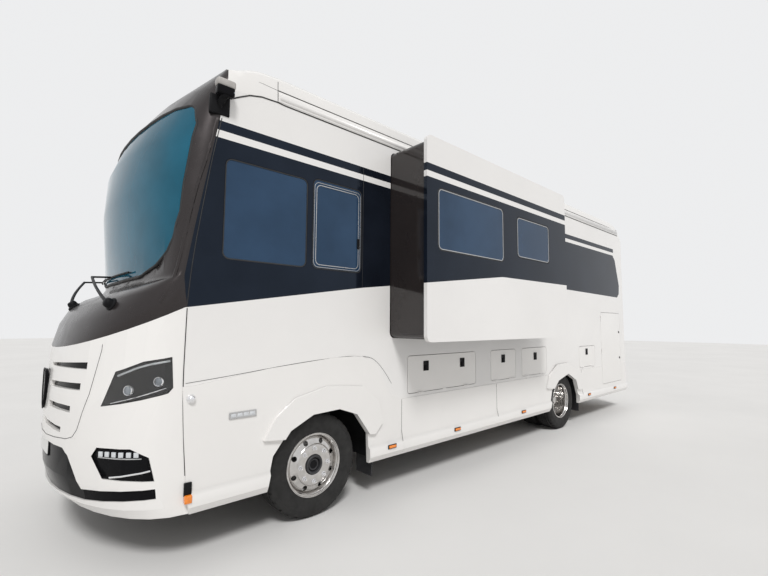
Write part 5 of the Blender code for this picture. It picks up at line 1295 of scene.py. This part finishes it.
class COACH_OT_seams(bpy.types.Operator):
    """Roof rails, the dark joint along the roof's edge whose curved front run also paints the shadow line under
    the roof cap, panel seams, the pillar's ridge and the windscreen's rubber
    """

    bl_idname = "coach.seams"
    bl_label = "Seams and rails"

    def execute(self, context):
        seam = context.scene.coach_trim.seam
        sides = shell_tree("roof_finished", "side_wall_left", "side_wall_right", "windscreen_surround",
                           "front_mask", "front_wing_left", "front_wing_right", "side_skirt_left",
                           "side_skirt_right")
        for side, word in SIDES:
            # The dark bead along the roof's edge is a joint, and along its curved front run it also paints the
            # shadow line under the roof cap.
            gutter_and_shadow = side_run(sides, GUTTER_AND_SHADOW_SEAM + spaced((0.40, 3.462), (ROOF_BACK_X, 3.462), 8), side)
            upper = side_run(sides, spaced((ROOF_FRONT_X, 3.573), (ROOF_BACK_X, 3.573), 8), side)
            crease = side_run(sides, [(0.640, 3.580), (0.560, 3.577), (ROOF_FRONT_X, 3.573)], side, -0.001)
            lines = [bead("line", gutter_and_shadow, seam * 1.7), bead("line", upper, seam * 1.2),
                     bead("line", crease, seam * 0.6)]
            for run, width in ((MASK_SEAM, seam), (WING_SEAM, seam * 0.55), (PILLAR_EDGE, seam)):
                lines.append(bead("line", side_run(sides, run, side), width, True))
            for x in SKIRT_SEAMS_X:
                down = side_run(sides, spaced((x, 0.880), (x, 0.372), 5), side)
                lines.append(bead("line", down, seam * 0.55))
            down = side_run(sides, spaced((-0.456, 3.155), (-0.456, 1.985), 4), side)
            lines.append(bead("line", down, seam * 0.6))
            place(joined("seams_" + word, lines), "coach", "seal_rubber")

            rail = block("roof_rail_" + word, (ROOF_BACK_X, side * 1.205, 3.475),
                         (ROOF_FRONT_X, side * 1.2545, 3.562), 0.006)
            place(stepped(rail, (0, side, 0), SQUARE_ON, 0.012, 0.0015), "coach", "white_paint")

            ridge = bead("pillar_ridge_" + word, side_run(sides, PILLAR_RIDGE, side, -0.010), 0.034, True)
            place(ridge, "coach", "graphite_paint")

        over = [on_side(sides, SCREEN_JOINT_X, z, 1)[0] for z in (3.470, 3.520, 3.573, 3.620, 3.650)]
        top = [resting(sides, (SCREEN_JOINT_X, y, 4.5), (0, 0, -1))[0] for y in (1.14, 1.05, 0.8, 0.4, 0.0)]
        half = over + top
        whole = half + [Vector((spot.x, -spot.y, spot.z)) for spot in reversed(half[:-1])]
        place(bead("roof_joint", whole, seam * 0.8), "coach", "seal_rubber")

        rubber = bead("screen_rubber", outer_edge("windscreen", at(-0.5, 0, 2.6)), 0.028, False, True)
        place(rubber, "coach", "seal_rubber")
        panel = front_run(shell_tree("front_mask", "front_panel", "windscreen_surround"),
                          close_run(both_sides(PANEL_SEAM)))
        place(bead("front_panel_seams", panel, seam * 0.6), "coach", "seal_rubber")
        return {"FINISHED"}


# Doors.
LATCHES = (("locker_door_long", 1, ((-1.356, 1.193), (-1.991, 1.193))),
           ("locker_door_mid", 1, ((-2.871, 1.192),)), ("locker_door_small", 1, ((-3.720, 1.184),)),
           ("locker_door_tail", 1, ((-5.520, 1.177),)),
           ("locker_door_right", -1, ((-2.800, 1.193), (-3.400, 1.193))))
LOCKS = (("garage_door_left", 1, ((-7.085, 1.000), (-7.085, 1.500))),
         ("garage_door_right", -1, ((-7.085, 1.000), (-7.085, 1.500))),
         ("entry_door", -1, ((-1.645, 1.560),)))
LOCK = [(0.0, 0.0075), (0.004, 0.0075), (0.005, 0.0060), (0.013, 0.0060), (0.0155, 0.0082), (0.0185, 0.0070),
        (0.0200, 0.0), (0.0, 0.0)]
HANDLE_X = -1.645
HANDLE = [(-0.002, 1.640), (-0.020, 1.652), (-0.026, 1.680), (-0.026, 1.760), (-0.020, 1.788),
          (-0.002, 1.800)]


class COACH_OT_latches(bpy.types.Operator):
    """Locker latches, white hinge caps, round locks and the entry door's handle, each on its own door"""

    bl_idname = "coach.latches"
    bl_label = "Latches and handles"

    def execute(self, context):
        trim = context.scene.coach_trim
        for door, side, spots in LATCHES:
            tree = shell_tree(door)
            low, high = (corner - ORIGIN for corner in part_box(door))
            cases, flaps, caps = [], [], []
            for x, z in spots:
                spot, facing = on_side(tree, x, z, side)
                case = small_block("case", trim.latch_width, trim.latch_height, 0.007, 0.003)
                cases.append(dished(set_on(case, spot, facing), facing, 0.007, -0.004, 0.001))
                flap = small_block("flap", trim.latch_width * 0.60, trim.latch_height * 0.44, 0.0085, 0.003)
                flaps.append(set_on(flap, spot - Vector((0, 0, trim.latch_height * 0.14)), facing))
            place(joined("latch_" + door, cases), door, "black_plastic")
            place(joined("latch_flap_" + door, flaps), door, "black_gloss")
            for share in (0.15, 0.5, 0.85) if high.x - low.x > 1 else (0.24, 0.76):
                x = low.x + (high.x - low.x) * share
                caps.append(block("cap", (x - 0.026, side * WALL_Y, 0.9165),
                                  (x + 0.026, side * 1.2535, 0.9360), 0.002))
            place(joined("hinge_caps_" + door, caps), door, "white_paint")
        for door, side, spots in LOCKS:
            tree = shell_tree(door)
            pieces = [set_on(small_turned("lock", LOCK, 32), *on_side(tree, x, z, side)) for x, z in spots]
            place(joined("locks_" + door, pieces), door, "black_plastic")

        tree = shell_tree("entry_door")
        spot, facing = on_side(tree, HANDLE_X, 1.720, -1)
        cup = set_on(small_block("handle_cup", 0.070, 0.190, 0.007, 0.003), spot, facing)
        place(dished(cup, facing, 0.009, -0.005, 0.004), "entry_door", "black_plastic")
        grip = bead("entry_handle", [(HANDLE_X, spot.y + out, z) for out, z in HANDLE], 0.018, True)
        place(grip, "entry_door", "chrome")
        return {"FINISHED"}


# Wipers and mirror cameras. Wipers are the pivot's y, the arm's end and the two ends of the blade.
WIPERS = ((0.880, -0.060, 0.52, -0.36), (-0.080, -0.760, -0.45, -1.00))
PIVOT_Z, TIP_Z, BLADE_Z = 1.765, 2.026, 2.036
PIVOT_CAP = [(0.0, 0.052), (0.020, 0.050), (0.030, 0.043), (0.034, 0.030), (0.036, 0.012), (0.046, 0.006),
             (0.048, -0.010), (0.0, -0.010)]
BALL = [(0.0, 0.030), (0.018, 0.028), (0.028, 0.020), (0.032, 0.008), (0.032, -0.008), (0.028, -0.020),
        (0.018, -0.028), (0.0, -0.030)]
EYE = [(0.0, 0.006), (0.007, 0.005), (0.012, 0.002), (0.014, 0.004), (0.016, 0.0), (0.016, -0.006),
       (0.0, -0.006)]


class COACH_OT_wipers(bpy.types.Operator):
    """Two wiper arms on their spindles, with blades parked along the foot of the windscreen"""

    bl_idname = "coach.wipers"
    bl_label = "Wipers"

    def execute(self, context):
        front = shell_tree("windscreen", "windscreen_surround")
        for step, (pivot_y, tip_y, first, last) in enumerate(WIPERS):
            pivot, facing = on_front(front, pivot_y, PIVOT_Z)
            cap = small_turned(f"wiper_pivot_{step}", PIVOT_CAP, 36)
            place(set_on(cap, pivot, facing), "coach", "black_plastic")
            root = pivot + facing * 0.036
            rest = on_front(front, tip_y, 2.035)[0]
            tip = Vector((max(rest.x + 0.055, 1.500 - step * 0.03), tip_y, TIP_Z))
            bends = [root + (tip - root) * share + Vector((out, 0, up))
                     for share, out, up in ((0.12, 0.012, 0.006), (0.6, 0.018, 0.004))]
            arm = bead(f"wiper_arm_{step}", [root, *bends, tip], 0.024, True)
            place(arm, "coach", "black_plastic")
            hook = bead(f"wiper_hook_{step}", [
                tip + Vector((0.004, 0.012, 0)), tip + Vector((-0.030, -0.006, 0.004)),
                rest + Vector((0.030, 0, 0))], 0.018, True)
            place(hook, "coach", "black_plastic")
            spots = front_run(front, spaced((first, BLADE_Z), (last, BLADE_Z), 10), 0.012)
            strip = bead(f"wiper_rubber_{step}", spots, 0.010)
            place(strip, "coach", "seal_rubber")
            spine = bead(f"wiper_blade_{step}", [spot + Vector((0.016, 0, 0)) for spot in spots], 0.014)
            place(spine, "coach", "black_plastic")
        return {"FINISHED"}


class COACH_OT_mirror_cameras(bpy.types.Operator):
    """Camera heads on black brackets at the top of both pillars"""

    bl_idname = "coach.mirror_cameras"
    bl_label = "Mirror cameras"

    def execute(self, context):
        for side, word in SIDES:
            foot = block("camera_foot_" + word, (0.872, side * 1.225, 3.196),
                         (1.022, side * 1.262, 3.345), 0.010, 3)
            dished(foot, (0, side, 0), 0.014, 0.003)
            arm = rod("arm", (0.948, side * 1.240, 3.262), (0.935, side * 1.318, 3.338), 0.030, 0.022, 28,
                      0.004)
            knuckle = turned("knuckle", BALL, Vector((0.935, side * 1.314, 3.332)), (1, 0, 0), 28)
            bracket = joined("camera_bracket_" + word, [foot, arm, knuckle])
            place(bracket, "coach", "black_plastic", ("mirror_arm_" + word,))
            head = block("camera_head_" + word, (0.872, side * 1.288, 3.318),
                         (1.000, side * 1.352, 3.392), 0.012, 3)
            place(dished(head, (-1, 0, 0), 0.012, -0.010), "coach", "black_gloss")
            hood = block("camera_hood_" + word, (0.866, side * 1.284, 3.376),
                         (1.006, side * 1.357, 3.438), 0.018, 4)
            place(dished(hood, (-1, 0, 0), 0.006, -0.004), "coach", "grey_case")
            eyes = [turned("eye", EYE, Vector((0.880, side * y, 3.350)), (-1, 0, 0), 28)
                    for y in (1.305, 1.336)]
            place(joined("camera_eyes_" + word, eyes), "coach", "projector_lens")
        return {"FINISHED"}


# Front and tail.
SHIELD = [(0.0, 1.268), (0.060, 1.266), (0.0875, 1.254), (0.098, 1.215), (0.100, 1.110), (0.084, 1.045),
          (0.050, 0.990), (0.0, 0.957)]
TAIL_LENS = [(0.0, 0.021), (0.020, 0.0205), (0.022, 0.0185), (0.040, 0.0175), (0.042, 0.0195),
             (0.052, 0.0180), (0.058, 0.0120), (0.060, 0.004), (0.0, 0.004)]
TAIL_LAMPS = (("red", "red_lens", (0.985, 1.310)), ("amber", "amber_lens", (1.470,)),
              ("white", "lamp_white", (1.150,)))
TAIL_LAMP_Y, PLATE_Z, TAIL_SEAM_Y, TAIL_SEAM_LOW, TAIL_SEAM_HIGH = 1.060, 0.710, 1.16, 0.92, 3.30


def bent(piece, tree, height):
    """A flat piece on the nose is cut into strips and follows the surface behind it."""
    sliced(piece, [at(*spot) for spot in spaced((0, -0.24, 0), (0, 0.24, 0), 12)], (0, 1, 0))
    middle = on_front(tree, 0, height)[0].x
    for vertex in piece.data.vertices:
        vertex.co.x += on_front(tree, vertex.co.y - ORIGIN.y, height)[0].x - middle


def blank_plate(name, spot, facing, width=0.520, height=0.110, behind=None):
    """A blank number plate with a raised rim in a black holder, bent to the surface behind it if asked."""
    holder = set_on(small_block(name + "_holder", width + 0.022, height + 0.022, 0.008, 0.003), spot, facing)
    if behind:
        bent(holder, behind, spot.z)
    place(holder, "coach", "black_plastic")
    plate = set_on(small_block(name, width, height, 0.0115, 0.0015), spot, facing)
    dished(plate, facing, 0.006, -0.0012, 0.01)
    if behind:
        bent(plate, behind, spot.z)
    return place(plate, "coach", "plate_white")


class COACH_OT_nose(bpy.types.Operator):
    """The plain shield on the grille and the blank front plate"""

    bl_idname = "coach.nose"
    bl_label = "Shield and plate"

    def execute(self, context):
        panel = shell_tree("front_panel", "front_black_trim", "front_mask")
        face_x = max(on_front(panel, y, z)[0].x for y, z in SHIELD) + 0.002
        corners = [(face_x, y, z) for y, z in both_sides(SHIELD)]
        shield = thickened(outline_sheet("shield", corners), 0.018, 0.0, 0.004)
        place(shield, "coach", "black_gloss")
        rim = bead("shield_rim", [(face_x + 0.009, y, z) for _, y, z in corners], 0.009, False, True)
        place(rim, "coach", "black_plastic")
        spot, _ = on_front(panel, 0.0, PLATE_Z)
        blank_plate("front_plate", Vector((spot.x - 0.001, 0, PLATE_Z)), Vector((1, 0, 0)), behind=panel)
        return {"FINISHED"}


class COACH_OT_tail(bpy.types.Operator):
    """Tail lamp columns, the high brake lamp, the bumper's dark trim and the blank rear plate"""

    bl_idname = "coach.tail"
    bl_label = "Tail"

    def execute(self, context):
        back = Vector((-1, 0, 0))
        for side, word in SIDES:
            case = set_on(small_block("tail_lamp_case_" + word, 0.150, 0.660, 0.014, 0.006),
                          Vector((TAIL_X, side * TAIL_LAMP_Y, 1.230)), back)
            place(dished(case, back, 0.008, -0.004, 0.01), "coach", "black_gloss")
            for colour, finish, heights in TAIL_LAMPS:
                lenses = [set_on(small_turned("lens", TAIL_LENS, 40),
                                 Vector((TAIL_X, side * TAIL_LAMP_Y, z)), back) for z in heights]
                place(joined(f"tail_{colour}_{word}", lenses), "coach", finish)
            reflector = set_on(small_block("reflector_" + word, 0.110, 0.044, 0.009, 0.003),
                               Vector((TAIL_X, side * TAIL_LAMP_Y, 0.700)), back)
            place(reflector, "coach", "red_lens")
        high = small_block("high_brake_lamp", 0.460, 0.036, 0.014, 0.005)
        place(set_on(high, Vector((TAIL_X, 0, 3.330)), back), "coach", "red_lens")
        strip = set_on(small_block("tail_bumper_trim", 2.200, 0.090, 0.016, 0.007),
                       Vector((TAIL_X, 0, 0.540)), back)
        place(dished(strip, back, 0.016, -0.005, 0.01), "coach", "black_plastic")
        blank_plate("rear_plate", Vector((TAIL_X, 0, 0.760)), back)
        tree = shell_tree("rear_wall")
        lines = []
        foot_right, foot_left = (-TAIL_SEAM_Y, TAIL_SEAM_LOW), (TAIL_SEAM_Y, TAIL_SEAM_LOW)
        for run in ((foot_right, (-TAIL_SEAM_Y, TAIL_SEAM_HIGH)), (foot_left, (TAIL_SEAM_Y, TAIL_SEAM_HIGH)),
                    (foot_right, foot_left)):
            spots = [resting(tree, (-9.0, y, z), (1, 0, 0))[0] for y, z in spaced(*run, 6)]
            lines.append(bead("line", spots, 0.005))
        place(joined("tail_seams", lines), "coach", "seal_rubber")
        return {"FINISHED"}


# Seats.
PAD_CUTS, GROOVE_WIDTH, GROOVE_DEPTH = 15, 0.011, 0.010
SEAT_LEAN = -7


def pad(name, low, high, radius, crown, channels=(), along="x", pinch=0.010):
    """A crowned pad: faces swell, sides pull in between the corners, and seams are pressed across it."""
    low, high = Vector(low), Vector(high)
    middle, half = (low + high) / 2, (high - low) / 2
    clear_choice()
    bpy.ops.mesh.primitive_cube_add(size=2, location=(0, 0, 0))
    piece = bpy.context.object
    piece.name = name
    open_mesh(piece, "SELECT")
    bpy.ops.mesh.subdivide(number_cuts=PAD_CUTS)
    close_mesh()
    thin = min(range(3), key=lambda axis: half[axis])
    across = "xyz".index(along)
    for vertex in piece.data.vertices:
        spot = Vector([vertex.co[axis] * half[axis] for axis in range(3)])
        inner = Vector([max(-half[axis] + radius, min(half[axis] - radius, spot[axis])) for axis in range(3)])
        away = spot - inner
        if away.length > 0:
            spot = inner + away.normalized() * radius
        shares = [spot[axis] / half[axis] for axis in range(3)]
        swell = 1.0
        for axis in range(3):
            if axis != thin:
                swell *= max(0.0, 1 - shares[axis] ** 2)
        groove = sum(math.exp(-((shares[across] - line) * half[across] / GROOVE_WIDTH) ** 2)
                     for line in channels)
        rise = (crown * swell ** 0.6 - GROOVE_DEPTH * min(1.0, groove)) * (1 if shares[thin] > 0 else -1)
        spot[thin] += rise * min(1.0, abs(shares[thin]) * 1.5)
        for axis in range(3):
            if axis != thin:
                other = 3 - axis - thin
                pull = math.copysign(pinch * (1 - shares[other] ** 2), shares[axis])
                spot[axis] -= pull * abs(shares[axis]) ** 4
        vertex.co = at(*(middle + spot))
    modify(piece, "SUBSURF", levels=1, render_levels=1)
    return smooth(piece, 60)


def leaned(piece, degrees, foot):
    """A piece turned back about a place at its foot, across the coach."""
    centre = Matrix.Translation(at(*foot))
    piece.data.transform(centre @ Matrix.Rotation(math.radians(degrees), 4, "Y") @ centre.inverted())
    return piece


class COACH_OT_seats(bpy.types.Operator):
    """Two cab seats: pedestals, sewn leather pads, headrests, armrests and piping"""

    bl_idname = "coach.seats"
    bl_label = "Cab seats"

    def execute(self, context):
        for word, y in (("driver", 0.55), ("passenger", -0.55)):
            pedestal = block(word + "_pedestal", (0.300, y - 0.150, 1.361),
                             (0.620, y + 0.150, 1.600), 0.020, 3)
            place(stepped(pedestal, UP, SQUARE_ON, 0.030, 0.050), "coach", "black_plastic")
            pan = block(word + "_pan", (0.250, y - 0.200, 1.640), (0.770, y + 0.200, 1.672), 0.010, 3)
            place(pan, "coach", "black_plastic")
            cushion = pad(word + "_cushion", (0.235, y - 0.205, 1.672), (0.810, y + 0.205, 1.800), 0.046,
                          0.016, (-0.30, 0.05, 0.40), "x")
            place(cushion, "coach", "seat_leather", (word + "_seat",))
            foot = (0.300, y, 1.780)
            back = pad(word + "_back", (0.225, y - 0.205, 1.800), (0.345, y + 0.205, 2.400), 0.050, 0.014,
                       (-0.45, -0.10, 0.25), "z")
            place(leaned(back, SEAT_LEAN, foot), "coach", "seat_leather")
            rest = pad(word + "_headrest", (0.200, y - 0.130, 2.385), (0.300, y + 0.130, 2.505), 0.040, 0.008)
            place(leaned(rest, SEAT_LEAN, foot), "coach", "seat_leather")
            arms = []
            for side, side_word in SIDES:
                middle = y + side * 0.228
                arm = pad(f"{word}_armrest_{side_word}", (0.330, middle - 0.021, 1.925),
                          (0.660, middle + 0.021, 1.975), 0.018, 0.004)
                place(arm, "coach", "seat_leather")
                arms.append(rod("bracket", (0.345, y + side * 0.216, 1.800),
                                (0.360, y + side * 0.226, 1.945), 0.014))
            place(joined(word + "_arm_brackets", arms), "coach", "black_plastic")
            loops = []
            for z in (1.786, 1.688):
                start, end, right, left = 0.250, 0.800, y - 0.196, y + 0.196
                ring = [(start, right + 0.02, z), (start + 0.03, right, z), (end - 0.03, right, z),
                        (end, right + 0.03, z), (end, left - 0.03, z), (end - 0.03, left, z),
                        (start + 0.03, left, z), (start, left - 0.02, z)]
                loops.append(bead("piping", ring, 0.007, False, True))
            place(joined(word + "_piping", loops), "coach", "seal_rubber")
        return {"FINISHED"}


CLASSES = (CoachColours, CoachStripes, CoachTrim, CoachStage, COACH_OT_stage, COACH_OT_shells,
           COACH_OT_underside, COACH_OT_wheels, COACH_OT_headlamps, COACH_OT_side_lamps, COACH_OT_windows,
           COACH_OT_seams, COACH_OT_latches, COACH_OT_wipers, COACH_OT_mirror_cameras, COACH_OT_nose,
           COACH_OT_tail, COACH_OT_seats)
STEPS = ("stage", "shells", "underside", "wheels", "headlamps", "side_lamps", "windows", "seams", "latches",
         "wipers", "mirror_cameras", "nose", "tail", "seats")


class COACH_PT_panel(bpy.types.Panel):
    """Lists the steps that dress the coach and the sizes and colours that they use"""

    bl_idname = "COACH_PT_panel"
    bl_label = "Coach"
    bl_space_type = "VIEW_3D"
    bl_region_type = "UI"
    bl_category = "Coach"

    def draw(self, context):
        for step in STEPS:
            self.layout.operator("coach." + step)
        for group in ("coach_colours", "coach_stripes", "coach_trim", "coach_stage"):
            settings = getattr(context.scene, group)
            box = self.layout.box()
            for name in settings.bl_rna.properties.keys():
                if name not in ("rna_type", "name"):
                    box.prop(settings, name)


def register():
    for kind in CLASSES + (COACH_PT_panel,):
        bpy.utils.register_class(kind)
    bpy.types.Scene.coach_colours = bpy.props.PointerProperty(type=CoachColours)
    bpy.types.Scene.coach_stripes = bpy.props.PointerProperty(type=CoachStripes)
    bpy.types.Scene.coach_trim = bpy.props.PointerProperty(type=CoachTrim)
    bpy.types.Scene.coach_stage = bpy.props.PointerProperty(type=CoachStage)


def unregister():
    for group in ("coach_colours", "coach_stripes", "coach_trim", "coach_stage"):
        delattr(bpy.types.Scene, group)
    for kind in reversed(CLASSES + (COACH_PT_panel,)):
        bpy.utils.unregister_class(kind)


def main():
    register()
    make_finishes()
    for step in STEPS:
        getattr(bpy.ops.coach, step)()
    clear_choice()


if __name__ == "__main__":
    main()
